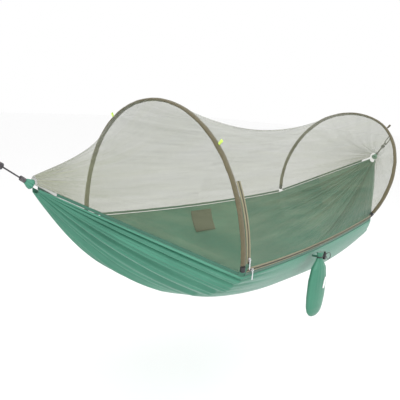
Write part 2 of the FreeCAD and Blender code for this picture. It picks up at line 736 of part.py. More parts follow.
def inner_pocket_point(u, v):
    """Patch pocket on the inner face of the far wall."""
    span = FAR_HEM.b.x - FAR_HEM.a.x
    middle_share = 1 - HEAD_SHARE - FOOT_SHARE
    start = MIDDLE.x + POCKET_X_FROM_MIDDLE - POCKET_WIDE / 2 - FAR_HEM.a.x
    s = HEAD_SHARE + middle_share * (start + POCKET_WIDE * u) / span
    low, high = POCKET_SHARES
    t = low + (high - low) * v
    inward = BED_SURFACE.normal(s, t)
    if inward.z < 0:
        inward = inward * -1
    return BED_SURFACE.value(s, t) + inward * (FABRIC / 2 + POCKET_THICK / 2 + POCKET_OFF)


def build_fabric():
    export("bed_fabric", cloth(bed_point, BED_ROWS, BED_COLS, FABRIC))
    export("head_net", cloth(head_net_point, 9, 17, NET))
    export("middle_net", cloth(middle_net_point, 11, 17, NET))
    export("foot_net", cloth(foot_net_point, 9, 17, NET))
    export("inner_pocket", cloth(inner_pocket_point, 6, 6, POCKET_THICK))
    half = BINDING_HIGH / 2
    thick = BINDING_THICK / 2
    for name, side, arc in (("near", -1, NEAR_HEM), ("far", 1, FAR_HEM)):
        export(name + "_head_binding", straight_binding(side, HEAD_GATHER, arc.a))
        export(name + "_foot_binding", straight_binding(side, FOOT_GATHER, arc.b))
        export(name + "_middle_binding", arc.strip(14.0, arc.length - 14.0, -half, half, -thick, thick))
    tape_low = half + GAP
    tape = NEAR_HEM.strip(TAPE_END, NEAR_HEM.length - TAPE_END, tape_low, tape_low + TAPE_HIGH,
                          -TAPE_THICK / 2, TAPE_THICK / 2)
    export("hem_zip_tape", tape)
    middle = tape_low + TAPE_HIGH / 2
    chain = NEAR_HEM.strip(TAPE_END, NEAR_HEM.length - TAPE_END, middle - CHAIN_WIDE / 2, middle + CHAIN_WIDE / 2,
                           TAPE_THICK / 2, TAPE_THICK / 2 + CHAIN_THICK)
    export("hem_zip_chain", chain)


LEG_TAPE_OUT = 3.0  # the tape lies this far outside the sleeve's centre line
LEG_CHAIN_AT = SLEEVE_HALF_WIDE + 1.0 + TAPE_HIGH / 2


def leg_strip(axial_low, axial_high, out_low, out_high):
    hoop = HEAD_HOOP
    start, end = TAPE_END, LEG_ZIP
    centre = hoop.world(*hoop.centre)
    base, out = hoop.point(start), hoop.outward(start)
    corners = [base + hoop.axial * a + out * o for a, o in ((axial_low, out_low), (axial_high, out_low),
                                                            (axial_high, out_high), (axial_low, out_high))]
    face = Part.Face(Part.makePolygon(corners + [corners[0]]))
    return face.revolve(centre, hoop.axial * -1, math.degrees((end - start) / hoop.side_r))


def build_hoops():
    for name, hoop in (("head", HEAD_HOOP), ("foot", FOOT_HOOP)):
        print(name, "hoop: side radius", round(hoop.side_r), "top radius", round(hoop.top_r), "length",
              round(hoop.length))
        export(name + "_rod", rod(hoop))
        export(name + "_rod_tips", rod_tips(hoop))
        export(name + "_sleeve", sleeve(hoop))
        export(name + "_near_pocket", tip_pocket(hoop.near, hoop.tangent(0.6)))
        export(name + "_far_pocket", tip_pocket(hoop.far, hoop.tangent(hoop.length - 0.6) * -1))
    export("near_ribbon_tab", hoop_tab(HEAD_HOOP, HEAD_TAB_SHARES[0]))
    export("far_ribbon_tab", hoop_tab(HEAD_HOOP, HEAD_TAB_SHARES[1]))
    export("foot_ribbon_tab", hoop_tab(FOOT_HOOP, FOOT_TAB_SHARE))
    half = TAPE_THICK / 2
    export("leg_zip_tape", leg_strip(SLEEVE_HALF_WIDE + 1.0, SLEEVE_HALF_WIDE + 1.0 + TAPE_HIGH,
                                     LEG_TAPE_OUT - half, LEG_TAPE_OUT + half))
    export("leg_zip_chain", leg_strip(LEG_CHAIN_AT - CHAIN_WIDE / 2, LEG_CHAIN_AT + CHAIN_WIDE / 2,
                                      LEG_TAPE_OUT + half, LEG_TAPE_OUT + half + CHAIN_THICK))


def build_sliders():
    angle = NEAR_HEM.angle(HEM_SLIDER_AT)
    rise = BINDING_HIGH / 2 + GAP + TAPE_HIGH / 2
    origin = NEAR_HEM.place(angle, rise)
    along = unit(NEAR_HEM.place(angle + 0.001) - NEAR_HEM.place(angle - 0.001))
    up = unit(NEAR_HEM.place(angle, rise + 1) - origin)
    block, pin = slider(origin, along, up, NEAR_HEM.out)
    export("hem_slider", lugs_and_pin(block, pin, along, NEAR_HEM.out))
    export("hem_pull", zip_pull(pin, along, Z * -1, NEAR_HEM.out))
    print("hem arc centre", NEAR_HEM.centre, "axis", NEAR_HEM.turn_axis, "radius", NEAR_HEM.radius, "pin", pin, along)
    hoop = HEAD_HOOP
    out = hoop.outward(LEG_SLIDER_AT)
    origin = hoop.point(LEG_SLIDER_AT) + hoop.axial * LEG_CHAIN_AT + out * LEG_TAPE_OUT
    tangent = hoop.tangent(LEG_SLIDER_AT)
    block, pin = slider(origin, tangent, hoop.axial, out)
    export("leg_slider", lugs_and_pin(block, pin, hoop.axial, out))
    export("leg_pull", zip_pull(pin, hoop.axial, Z * -1, out))
    print("leg arc centre", hoop.world(*hoop.centre), "axis", hoop.axial, "pin", pin)


def build_suspension():
    pieces = {
        "rope": rope_loop(),
        "knot": wraps(KNOT_AT, KNOT_TURNS, KNOT_CORD_R, STRAND_OFFSET + ROPE_R + WRAP_CLEAR),
        "whipping": wraps(ROPE_END - 2 * WHIP_CORD_R * WHIP_TURNS, WHIP_TURNS, WHIP_CORD_R,
                          STRAND_OFFSET + ROPE_R + WRAP_CLEAR),
        "end_channel": end_channel(),
        "carabiner": carabiner_body(),
        "gate": carabiner_gate(),
        "gate_pin": across_pin(GATE_PIN_R, 2 * GATE_R - 1.6, GATE_PIVOT_X),
        "gate_spring": gate_spring(),
    }
    for name, shape in pieces.items():
        at_head = suspended(shape)
        export("head_" + name, at_head)
        export("foot_" + name, at_foot(at_head))


def build_sack():
    export("stuff_sack", stuff_sack())
    export("sack_hanger", sack_hanger())
    export("drawstring", drawstring())
    export("cord_lock", lock_body())
    export("lock_button", lock_button())
    export("lock_spring", lock_spring())
    print("sack neck", neck_centre())


os.makedirs("parts", exist_ok=True)
build_fabric()
build_hoops()
build_sliders()
build_suspension()
build_sack()
print("head gather", HEAD_GATHER, "foot gather", FOOT_GATHER)
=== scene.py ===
import json
import math

import bpy
import numpy as np
from mathutils import Matrix, Vector


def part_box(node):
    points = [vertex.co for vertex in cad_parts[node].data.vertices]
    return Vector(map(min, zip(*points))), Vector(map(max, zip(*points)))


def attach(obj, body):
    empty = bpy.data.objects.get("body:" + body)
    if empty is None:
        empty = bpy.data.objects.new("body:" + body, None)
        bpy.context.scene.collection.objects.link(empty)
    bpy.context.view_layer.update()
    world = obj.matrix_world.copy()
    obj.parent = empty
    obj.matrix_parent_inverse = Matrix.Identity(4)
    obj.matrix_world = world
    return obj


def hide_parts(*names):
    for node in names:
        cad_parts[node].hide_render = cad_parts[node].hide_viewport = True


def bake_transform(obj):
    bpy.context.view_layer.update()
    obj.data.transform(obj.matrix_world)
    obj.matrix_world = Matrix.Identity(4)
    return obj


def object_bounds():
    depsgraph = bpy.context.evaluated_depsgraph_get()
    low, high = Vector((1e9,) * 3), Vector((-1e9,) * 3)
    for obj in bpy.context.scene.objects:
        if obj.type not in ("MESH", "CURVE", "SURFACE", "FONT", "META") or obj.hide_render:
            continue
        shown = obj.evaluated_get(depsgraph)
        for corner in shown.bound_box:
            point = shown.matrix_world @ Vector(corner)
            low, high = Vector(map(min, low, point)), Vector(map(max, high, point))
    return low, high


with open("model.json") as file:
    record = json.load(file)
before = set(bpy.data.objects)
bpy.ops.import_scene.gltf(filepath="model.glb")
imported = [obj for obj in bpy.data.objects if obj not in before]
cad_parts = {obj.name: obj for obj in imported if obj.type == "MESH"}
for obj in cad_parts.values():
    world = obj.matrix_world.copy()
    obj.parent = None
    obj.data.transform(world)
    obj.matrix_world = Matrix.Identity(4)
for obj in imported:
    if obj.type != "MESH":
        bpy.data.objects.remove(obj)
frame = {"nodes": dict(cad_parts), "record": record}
CAD_BOX = [list(corner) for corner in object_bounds()]
NODES = frame["nodes"]
TAU = 2 * math.pi

# ---------------------------------------------------------------- places of the frame, in metres
FOOT_ANCHOR = frame["record"]["mounts"][1]["pos_m"]
ROPE_RAD = math.radians(34.0)
SUSPENSION = 0.216
HEAD_GATHER = np.array([SUSPENSION * math.cos(ROPE_RAD), 0.0, -SUSPENSION * math.sin(ROPE_RAD)])
FOOT_GATHER = np.array([FOOT_ANCHOR[0] - HEAD_GATHER[0], 0.0, HEAD_GATHER[2]])
MIDDLE = (HEAD_GATHER + FOOT_GATHER) / 2
RIDGE = FOOT_GATHER[0] - HEAD_GATHER[0]
UP = np.array([0.0, 0.0, 1.0])
CHANNEL_LONG = 0.030


def unit(v):
    return v / np.linalg.norm(v)


# ---------------------------------------------------------------- camera, world and lights
def make_camera():
    data = bpy.data.cameras.new("camera")
    data.lens = 45.0
    data.sensor_width = 36.0
    cam = bpy.data.objects.new("camera", data)
    bpy.context.scene.collection.objects.link(cam)
    place = (-0.579, -1.625, 0.200)
    roll = math.radians(3.5)
    fwd = Vector((0.6866, 0.6987, -0.2011)).normalized()
    right = fwd.cross(Vector((0, 0, 1))).normalized()
    up = right.cross(fwd)
    right, up = right * math.cos(roll) + up * math.sin(roll), up * math.cos(roll) - right * math.sin(roll)
    turn = Matrix((right, up, -fwd)).transposed().to_4x4()
    cam.matrix_world = Matrix.Translation(place) @ turn
    data.clip_end = 200.0
    bpy.context.scene.camera = cam


def area_light(name, place, target, size, power):
    data = bpy.data.lights.new(name, "AREA")
    data.size = size
    data.energy = power
    lamp = bpy.data.objects.new(name, data)
    bpy.context.scene.collection.objects.link(lamp)
    lamp.location = place
    lamp.rotation_mode = "QUATERNION"
    lamp.rotation_quaternion = (Vector(target) - Vector(place)).to_track_quat("-Z", "Y")


def make_studio():
    world = bpy.data.worlds.new("studio")
    bpy.context.scene.world = world
    world.use_nodes = True
    background = world.node_tree.nodes["Background"]
    background.inputs["Color"].default_value = (1.0, 1.0, 1.0, 1)
    background.inputs["Strength"].default_value = 1.0
    bpy.context.scene.view_settings.view_transform = "Standard"
    bpy.context.scene.view_settings.look = "None"
    area_light("key", (0.2, -2.6, 2.6), (1.3, 0, -0.3), 2.2, 95)
    area_light("fill", (-2.2, -1.0, 0.8), (1.0, 0, -0.3), 2.0, 18)
    area_light("back", (3.2, 2.4, 2.2), (1.6, 0, -0.2), 2.0, 30)
    make_floor()


def make_floor():
    side = 30.0
    below = 0.75
    corners = [(-side, -side, 0), (side, -side, 0), (side, side, 0), (-side, side, 0)]
    data = bpy.data.meshes.new("floor")
    data.from_pydata(corners, [], [(0, 1, 2, 3)])
    floor = bpy.data.objects.new("floor", data)
    bpy.context.scene.collection.objects.link(floor)
    floor.location = (1.4, 0, CAD_BOX[0][2] - below)
    mat = bpy.data.materials.new("floor_paint")
    mat.use_nodes = True
    shader = mat.node_tree.nodes["Principled BSDF"]
    shader.inputs["Base Color"].default_value = (0.97, 0.97, 0.97, 1)
    shader.inputs["Roughness"].default_value = 0.9
    data.materials.append(mat)


# ---------------------------------------------------------------- node materials
class Paint:
    """A Principled material built node by node."""

    def __init__(self, name, rough=0.7, metallic=0.0, **sockets):
        self.mat = bpy.data.materials.new(name)
        self.mat.use_nodes = True
        self.tree = self.mat.node_tree
        self.shader = self.tree.nodes["Principled BSDF"]
        self.shader.inputs["Roughness"].default_value = rough
        self.shader.inputs["Metallic"].default_value = metallic
        for key, value in sockets.items():
            self.shader.inputs[key.replace("_", " ")].default_value = value
        self.coord = self.tree.nodes.new("ShaderNodeTexCoord")

    def node(self, kind, links=(), **values):
        made = self.tree.nodes.new(kind)
        for key, value in values.items():
            if hasattr(made, key):
                setattr(made, key, value)
            else:
                made.inputs[key.replace("_", " ")].default_value = value
        for socket, source in links:
            self.tree.links.new(source, made.inputs[socket])
        return made

    def place(self, source="Object", scale=(1, 1, 1), turn=(0, 0, 0)):
        mapping = self.node("ShaderNodeMapping", [("Vector", self.coord.outputs[source])])
        mapping.inputs["Scale"].default_value = scale
        mapping.inputs["Rotation"].default_value = turn
        return mapping.outputs["Vector"]

    def noise(self, vector, scale, detail=3.0, rough=0.5, distortion=0.0):
        made = self.node("ShaderNodeTexNoise", [("Vector", vector)], Scale=scale, Detail=detail)
        made.inputs["Distortion"].default_value = distortion
        made.inputs["Roughness"].default_value = rough
        return made.outputs["Fac"]

    def wave(self, vector, scale, direction="X", distortion=0.0):
        made = self.node("ShaderNodeTexWave", [("Vector", vector)], Scale=scale, Distortion=distortion)
        made.bands_direction = direction
        return made.outputs["Fac"]

    def math(self, operation, a, b=None):
        made = self.tree.nodes.new("ShaderNodeMath")
        made.operation = operation
        for i, value in enumerate((a, b)):
            if value is None:
                continue
            if isinstance(value, (int, float)):
                made.inputs[i].default_value = value
            else:
                self.tree.links.new(value, made.inputs[i])
        return made.outputs[0]

    def ramp(self, source, stops):
        made = self.node("ShaderNodeValToRGB", [("Fac", source)])
        ramp = made.color_ramp
        while len(ramp.elements) < len(stops):
            ramp.elements.new(0.5)
        for element, (at, colour) in zip(ramp.elements, stops):
            element.position = at
            element.color = (*colour, 1)
        return made.outputs["Color"]

    def mix(self, share, a, b):
        made = self.tree.nodes.new("ShaderNodeMix")
        made.data_type = "RGBA"
        for index, value in ((0, share), (6, a), (7, b)):
            if isinstance(value, (int, float)):
                made.inputs[index].default_value = value
            elif isinstance(value, tuple):
                made.inputs[index].default_value = (*value, 1)
            else:
                self.tree.links.new(value, made.inputs[index])
        return made.outputs[2]

    def colour(self, source):
        self.tree.links.new(source, self.shader.inputs["Base Color"])

    def rough(self, source):
        self.tree.links.new(source, self.shader.inputs["Roughness"])

    def alpha(self, source):
        self.tree.links.new(source, self.shader.inputs["Alpha"])

    def bump(self, height, distance, strength=1.0, under=None):
        made = self.node("ShaderNodeBump", [("Height", height)], Distance=distance, Strength=strength)
        if under is not None:
            self.tree.links.new(under, made.inputs["Normal"])
        self.tree.links.new(made.outputs["Normal"], self.shader.inputs["Normal"])
        return made.outputs["Normal"]


def span(paint, source, low, high):
    """Maps 0..1 to low..high."""
    return paint.math("ADD", paint.math("MULTIPLY", source, high - low), low)


def nylon(name, light, dark, crumple=0.0012):
    """Woven nylon cloth with soft patches, streaks along it and fine threads."""
    rough = 0.52
    paint = Paint(name, rough, Sheen_Weight=0.25, Sheen_Roughness=0.4)
    uv = paint.place("UV")
    obj = paint.place("Object")
    patches = paint.noise(obj, 5.0, 4.0, 0.55)
    streaks = paint.noise(paint.place("UV", (1.0, 9.0, 1.0)), 3.0, 4.0, 0.6, 0.6)
    tone = paint.math("ADD", paint.math("MULTIPLY", patches, 0.55), paint.math("MULTIPLY", streaks, 0.45))
    base = paint.ramp(tone, [(0.32, dark), (0.68, light)])
    threads = paint.math("MULTIPLY", paint.wave(uv, 260.0, "X"), paint.wave(uv, 260.0, "Y"))
    paint.colour(paint.mix(paint.math("MULTIPLY", threads, 0.16), base, tuple(0.55 * c for c in light)))
    paint.rough(span(paint, patches, rough - 0.08, rough + 0.10))
    soft = paint.bump(paint.noise(obj, 26.0, 5.0, 0.6, 0.5), crumple, 0.7)
    paint.bump(threads, 0.00012, 0.5, soft)
    return paint.mat


def mesh_net(name, light, dark, low, high):
    """Mosquito net: more opaque where it is bunched, with streaks that run along its folds."""
    along, across = 2.0, 26.0
    paint = Paint(name, 0.75, Sheen_Weight=0.3, Sheen_Roughness=0.5)
    streaks = paint.noise(paint.place("UV", (along, across, 1.0)), 1.0, 6.0, 0.62, 0.35)
    wide = paint.noise(paint.place("UV", (along * 0.7, across * 0.28, 1.0)), 1.0, 3.0, 0.5, 0.4)
    tone = paint.math("ADD", paint.math("MULTIPLY", streaks, 0.7), paint.math("MULTIPLY", wide, 0.3))
    paint.colour(paint.ramp(tone, [(0.35, dark), (0.65, light)]))
    bunched = paint.node("ShaderNodeAttribute", attribute_name="bunched").outputs["Fac"]
    steep = paint.node("ShaderNodeMapRange", [("Value", tone)], From_Min=0.40, From_Max=0.66)
    sharp = steep.outputs["Result"]
    warp, weft = (paint.wave(paint.place("UV"), 190.0, direction) for direction in "XY")
    thread = paint.math("MAXIMUM", warp, weft)
    base = paint.math("ADD", span(paint, sharp, low, low + 0.10), paint.math("MULTIPLY", thread, 0.03))
    dense = span(paint, sharp, high - 0.30, high + 0.06)
    share = paint.math("MULTIPLY", bunched, dense)
    spare = paint.math("MULTIPLY", paint.math("SUBTRACT", 1.0, bunched), base)
    paint.alpha(paint.math("MINIMUM", paint.math("ADD", share, spare), 0.97))
    paint.bump(streaks, 0.0015, 0.5)
    return paint.mat


def woven(name, light, dark, pitch=900.0, rough=0.8, sheen=0.2, depth=0.0003):
    """Narrow woven goods such as tape, webbing and ribbon."""
    paint = Paint(name, rough, Sheen_Weight=sheen, Sheen_Roughness=0.5)
    obj = paint.place("Object")
    weft = paint.wave(paint.place("Object", (1, 1, 1), (0.3, 0.5, 0.7)), pitch, "X", 0.4)
    worn = paint.noise(obj, 90.0, 5.0, 0.6)
    tone = paint.math("ADD", paint.math("MULTIPLY", weft, 0.35), paint.math("MULTIPLY", worn, 0.65))
    paint.colour(paint.ramp(tone, [(0.25, dark), (0.75, light)]))
    paint.rough(span(paint, worn, rough - 0.1, rough + 0.1))
    paint.bump(weft, depth, 0.6, paint.bump(worn, 0.0006, 0.5))
    return paint.mat


def metal(name, colour, rough):
    grain = 180.0
    paint = Paint(name, rough, 1.0, Anisotropic=0.3, Coat_Weight=0.2, Coat_Roughness=0.2)
    obj = paint.place("Object")
    cloud = paint.noise(obj, grain, 4.0, 0.6)
    paint.colour(paint.ramp(cloud, [(0.3, tuple(0.78 * c for c in colour)), (0.7, colour)]))
    scratches = paint.noise(paint.place("Object", (1, 1, 12)), grain * 5, 3.0, 0.7)
    paint.rough(span(paint, scratches, rough * 0.7, rough * 1.4))
    paint.bump(scratches, 0.00005, 0.4)
    return paint.mat


def plastic(name, colour, rough=0.45, grain=1400.0):
    paint = Paint(name, rough, Coat_Weight=0.1, Coat_Roughness=0.4)
    obj = paint.place("Object")
    worn = paint.noise(obj, 60.0, 4.0, 0.6)
    dark, light = (tuple(share * c for c in colour) for share in (0.7, 1.25))
    paint.colour(paint.ramp(worn, [(0.35, dark), (0.75, light)]))
    paint.rough(span(paint, worn, rough - 0.1, rough + 0.15))
    paint.bump(paint.noise(obj, grain, 2.0), 0.00008, 0.5)
    return paint.mat


GREEN_LIGHT = (0.060, 0.250, 0.165)
GREEN_DARK = (0.030, 0.165, 0.105)
BED = nylon("bed_nylon_paint", GREEN_LIGHT, GREEN_DARK)
SACK = nylon("sack_nylon_paint", (0.055, 0.235, 0.150), (0.030, 0.155, 0.098), crumple=0.0016)
NET = mesh_net("net_paint", (0.215, 0.230, 0.140), (0.120, 0.130, 0.075), 0.26, 0.78)
POCKET = nylon("pocket_paint", (0.075, 0.090, 0.045), (0.045, 0.058, 0.030), crumple=0.0010)
HEM = nylon("hem_paint", (0.040, 0.150, 0.100), (0.018, 0.085, 0.055), crumple=0.0006)
TAPE = woven("tape_paint", (0.275, 0.255, 0.155), (0.175, 0.160, 0.095))
CHAIN = plastic("chain_paint", (0.030, 0.032, 0.024), 0.4)
SLEEVE = woven("sleeve_paint", (0.130, 0.112, 0.058), (0.072, 0.060, 0.030), 600.0)
RIBBON = woven("ribbon_paint", (0.72, 0.92, 0.18), (0.50, 0.72, 0.10), 1500.0, 0.6)
ROPE = woven("rope_paint", (0.050, 0.044, 0.052), (0.016, 0.014, 0.018), 700.0, 0.7, 0.3, 0.0006)
ROPE_GREY = woven("rope_grey_paint", (0.140, 0.130, 0.135), (0.030, 0.026, 0.030), 500.0, 0.7, 0.3, 0.0006)
CORD = woven("cord_paint", (0.030, 0.030, 0.032), (0.010, 0.010, 0.011), 1600.0, 0.6)
THREAD = woven("thread_paint", (0.100, 0.220, 0.150), (0.050, 0.140, 0.090), 3000.0)
THREAD_TAN = woven("thread_tan_paint", (0.20, 0.18, 0.10), (0.12, 0.105, 0.06), 3000.0)
ZIP_METAL = metal("zip_metal_paint", (0.80, 0.80, 0.82), 0.26)
DARK_METAL = metal("carabiner_paint", (0.105, 0.105, 0.115), 0.38)
STEEL = metal("steel_paint", (0.55, 0.55, 0.56), 0.32)
BLACK = plastic("black_plastic_paint", (0.022, 0.022, 0.024))
ROD = plastic("rod_paint", (0.045, 0.043, 0.040), 0.35, 600.0)
PATCH = woven("patch_paint", (0.80, 0.82, 0.80), (0.68, 0.70, 0.68), 1800.0)


# ---------------------------------------------------------------- mesh helpers
def link(name, mesh, mat, body, nodes):
    obj = bpy.data.objects.new(name, mesh)
    bpy.context.scene.collection.objects.link(obj)
    mesh.materials.append(mat)
    if body is not None:
        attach(obj, body)
    if nodes:
        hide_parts(*nodes)
    return obj


def grid_faces(n, m, wrap=False, start=0):
    faces = []
    last = m if wrap else m - 1
    for i in range(n - 1):
        row = start + i * m
        for j in range(last):
            k = (j + 1) % m
            faces.append((row + j, row + k, row + m + k, row + m + j))
    return faces


def cap_faces(n, m, start=0):
    """The two faces that close a wrapped grid."""
    last = start + (n - 1) * m
    return [tuple(range(start + m - 1, start - 1, -1)), tuple(range(last, last + m))]


def grid_mesh(name, points, wrap=False, caps=False):
    """Smooth mesh of an (n, m, 3) array, with UVs of about its real size in metres."""
    n, m = points.shape[:2]
    mesh = bpy.data.meshes.new(name)
    faces = grid_faces(n, m, wrap)
    if caps:
        faces += cap_faces(n, m)
    mesh.from_pydata(points.reshape(-1, 3).tolist(), [], faces)
    long = np.linalg.norm(np.diff(points, axis=0), axis=2).sum(0).mean()
    wide = np.linalg.norm(np.diff(points, axis=1), axis=2).sum(1).mean()
    layer = mesh.uv_layers.new(name="UVMap")
    loops = np.zeros(len(mesh.loops), int)
    mesh.loops.foreach_get("vertex_index", loops)
    u = (loops // m) / (n - 1) * long
    v = (loops % m) / (m - 1) * wide
    layer.data.foreach_set("uv", np.stack([u, v], 1).astype(np.float32).ravel())
    mesh.shade_smooth()
    return mesh


def solidify(obj, thick):
    made = obj.modifiers.new("thick", "SOLIDIFY")
    made.thickness = thick
    made.offset = 0.0


def frames_along(line):
    """Unit tangents of a polyline."""
    d = np.gradient(line, axis=0)
    return d / np.linalg.norm(d, axis=1)[:, None]


def band(name, line, across, out, half_wide, thick, mat, body, slot, nodes, crown=0.0):
    """A flat ribbon with rounded edges, swept along line: wide along across and thick along out."""
    angles = np.linspace(0, TAU, 17)[:-1]
    ca, sa = np.cos(angles), np.sin(angles)
    sx = half_wide * np.sign(ca) * np.abs(ca) ** 0.45
    sy = thick / 2 * np.sign(sa) * np.abs(sa) ** 0.7 + crown * (1 - (sx / half_wide) ** 2)
    points = line[:, None] + across[:, None] * sx[None, :, None] + out[:, None] * sy[None, :, None]
    mesh = grid_mesh(name, points, wrap=True, caps=True)
    return link(name, mesh, mat, body, nodes)


def sweep(line, radius):
    """Round tube points along a line, with a frame carried along it."""
    tangents = frames_along(line)
    steep = abs(tangents[0][2]) >= 0.9
    ref = unit(np.cross(tangents[0], np.array([1.0, 0, 0]) if steep else UP))
    rings = []
    sides = 8
    angles = np.linspace(0, TAU, sides + 1)[:-1]
    for p, t in zip(line, tangents):
        ref = unit(ref - t * ref.dot(t))
        side = np.cross(t, ref)
        rings.append([p + (ref * math.cos(a) + side * math.sin(a)) * radius for a in angles])
    return np.array(rings)


def joined(name, grids, mat, body, nodes):
    """One object from several closed grids of points."""
    verts, faces = [], []
    for points in grids:
        n, m = points.shape[:2]
        start = len(verts)
        verts.extend(points.reshape(-1, 3).tolist())
        faces += grid_faces(n, m, True, start) + cap_faces(n, m, start)
    mesh = bpy.data.meshes.new(name)
    mesh.from_pydata(verts, [], faces)
    mesh.shade_smooth()
    return link(name, mesh, mat, body, nodes)


def resample(line, pitch):
    steps = np.concatenate([[0], np.cumsum(np.linalg.norm(np.diff(line, axis=0), axis=1))])
    count = max(int(steps[-1] / pitch), 2)
    at = np.linspace(0, steps[-1], count + 1)
    return np.stack([np.interp(at, steps, line[:, k]) for k in range(3)], 1)


def stitches(name, line, out, mat, body, pitch=0.004, length=0.0026, radius=0.00035):
    """A row of thread stitches that lie on a surface along a line, each a short arched capsule."""
    spots = resample(line, pitch)
    ways = frames_along(spots)
    arch = ((-0.5, -0.0001, 0.5), (-0.25, 0.0002, 1), (0.25, 0.0002, 1), (0.5, -0.0001, 0.5))
    round_it = (0.6, 2.2, 3.7, 5.3)
    grids = []
    for p, t in zip(spots, ways):
        rows = []
        side = np.cross(t, out)
        for share, rise, r in arch:
            c = p + t * (length * share) + out * rise
            rows.append([c + (side * math.cos(a) + out * math.sin(a)) * radius * r for a in round_it])
        grids.append(np.array(rows))
    return joined(name, grids, mat, body, ())


# ---------------------------------------------------------------- hoops and hems, as in the frame
class Hoop:
    def __init__(self, near, far, height, lean, splay, side_turn):
        self.middle = (near + far) / 2
        self.half = np.linalg.norm(far - near) / 2
        self.across = unit(far - near)
        lean, self.splay, self.turn = (math.radians(a) for a in (lean, splay, side_turn))
        self.up = UP * math.cos(lean) + np.cross(self.across, UP) * math.sin(lean)
        self.axial = unit(np.cross(self.across, self.up))
        end = self.splay - self.turn
        a, b = math.cos(self.splay) - math.cos(end), math.cos(end)
        c, d = math.sin(self.splay) - math.sin(end), math.sin(end) + 1
        self.side_r = (self.half * d - height * b) / (a * d - b * c)
        self.top_r = (self.half - a * self.side_r) / b
        self.centre = (-self.half + self.side_r * math.cos(self.splay), self.side_r * math.sin(self.splay))
        self.top_centre = (0.0, height - self.top_r)
        self.side_long = self.side_r * self.turn
        self.length = 2 * (self.side_long + self.top_r * (math.pi / 2 + end))
        self.near, self.far = near, far

    def flat(self, along):
        mirror = along > self.length / 2
        s = self.length - along if mirror else along
        if s <= self.side_long:
            angle, centre, radius = self.splay - s / self.side_r, self.centre, self.side_r
        else:
            angle = self.splay - self.turn - (s - self.side_long) / self.top_r
            centre, radius = self.top_centre, self.top_r
        nx, ny = -math.cos(angle), -math.sin(angle)
        p, q = centre[0] + radius * nx, centre[1] + radius * ny
        return (-p, q, -nx, ny) if mirror else (p, q, nx, ny)

    def point(self, along):
        p, q, _, _ = self.flat(along)
        return self.middle + self.across * p + self.up * q

    def outward(self, along):
        _, _, nx, ny = self.flat(along)
        return self.across * nx + self.up * ny

    def line(self, start, end, count):
        at = np.linspace(start, end, count)
        return np.array([self.point(s) for s in at]), np.array([self.outward(s) for s in at])


HEAD_ALONG = 0.557  # head hoop's feet, along the hammock from the head gather
HEAD_HOOP = Hoop(HEAD_GATHER + np.array([HEAD_ALONG, -0.526, -0.275]),
                 HEAD_GATHER + np.array([HEAD_ALONG, 0.526, -0.275]),
                 height=0.576, lean=0.0, splay=0.0, side_turn=28.6)
FOOT_HOOP = Hoop(FOOT_GATHER + np.array([-0.738, -0.387, -0.247]),
                 FOOT_GATHER + np.array([-0.520, 0.387, -0.247]),
                 height=0.559, lean=20.4, splay=27.9, side_turn=98.5)
HOOP_HALF_WIDE = 0.013  # half the width of a sleeve
HEM_DROP = 0.020
HEM_PULL_IN = 0.33  # sideways share of a hem's sag
CORNER_GAP = 0.014  # every hem strip stops this far from a hoop's foot


class HemArc:
    def __init__(self, side, sag):
        drop = np.array([0, 0, -HEM_DROP])
        self.a = (HEAD_HOOP.near if side < 0 else HEAD_HOOP.far) + drop
        self.b = (FOOT_HOOP.near if side < 0 else FOOT_HOOP.far) + drop
        self.chord = unit(self.b - self.a)
        down = np.array([0.0, -side * HEM_PULL_IN, -1.0])
        self.down = unit(down - self.chord * down.dot(self.chord))
        half = np.linalg.norm(self.b - self.a) / 2
        self.radius = (half * half + sag * sag) / (2 * sag)
        self.centre = (self.a + self.b) / 2 + self.down * (sag - self.radius)
        self.reach = math.asin(half / self.radius)
        self.length = 2 * self.reach * self.radius
        self.out = np.cross(self.down, self.chord) * -side

    def place(self, along, rise=0.0, out=0.0):
        angle = -self.reach + along / self.radius
        way = self.down * math.cos(angle) + self.chord * math.sin(angle)
        return self.centre + way * (self.radius - rise) + self.out * out

    def line(self, start, end, count, rise=0.0, out=0.0):
        return np.array([self.place(s, rise, out) for s in np.linspace(start, end, count)])

    def rises(self, start, end, count):
        return self.line(start, end, count, 1.0) - self.line(start, end, count)


NEAR_HEM, FAR_HEM = HemArc(-1, 0.036), HemArc(1, 0.020)
HEAD_SHARE, FOOT_SHARE = 0.27, 0.30


def hem_point(side, s):
    arc = NEAR_HEM if side < 0 else FAR_HEM
    if s < HEAD_SHARE:
        start = CHANNEL_LONG / HEAD_ALONG
        return HEAD_GATHER + (arc.a - HEAD_GATHER) * (start + (1 - start) * s / HEAD_SHARE)
    if s > 1 - FOOT_SHARE:
        start = CHANNEL_LONG / (FOOT_GATHER[0] - arc.b[0])
        return FOOT_GATHER + (arc.b - FOOT_GATHER) * (start + (1 - start) * (1 - s) / FOOT_SHARE)
    return arc.place(arc.length * (s - HEAD_SHARE) / (1 - HEAD_SHARE - FOOT_SHARE))


def bottom_z(x):
    """Height of the bed's lowest line."""
    deepest = 0.627
    share = min(abs(x - MIDDLE[0]) / (RIDGE / 2), 1.0)
    return MIDDLE[2] - deepest * (1 - share ** 2.66) ** 0.955


def bed_point(s, t):
    """s runs from the head gather to the foot gather, t from the near hem under the bed to the far hem."""
    near, far = hem_point(-1, s), hem_point(1, s)
    drop = 0.009
    bottom_x = (near[0] + far[0]) / 2
    square = 1.43 + 0.3 * s
    hem = near if t < 0.5 else far
    turn = math.pi * (t if t < 0.5 else 1 - t)
    inside = math.sin(turn) ** (2 / square)
    outside = max(math.cos(turn), 0.0) ** (2 / square)
    low = bottom_z(bottom_x)
    top = hem[2] - drop
    return np.array([hem[0] + (bottom_x - hem[0]) * inside, hem[1] * outside, top - (top - low) * inside])


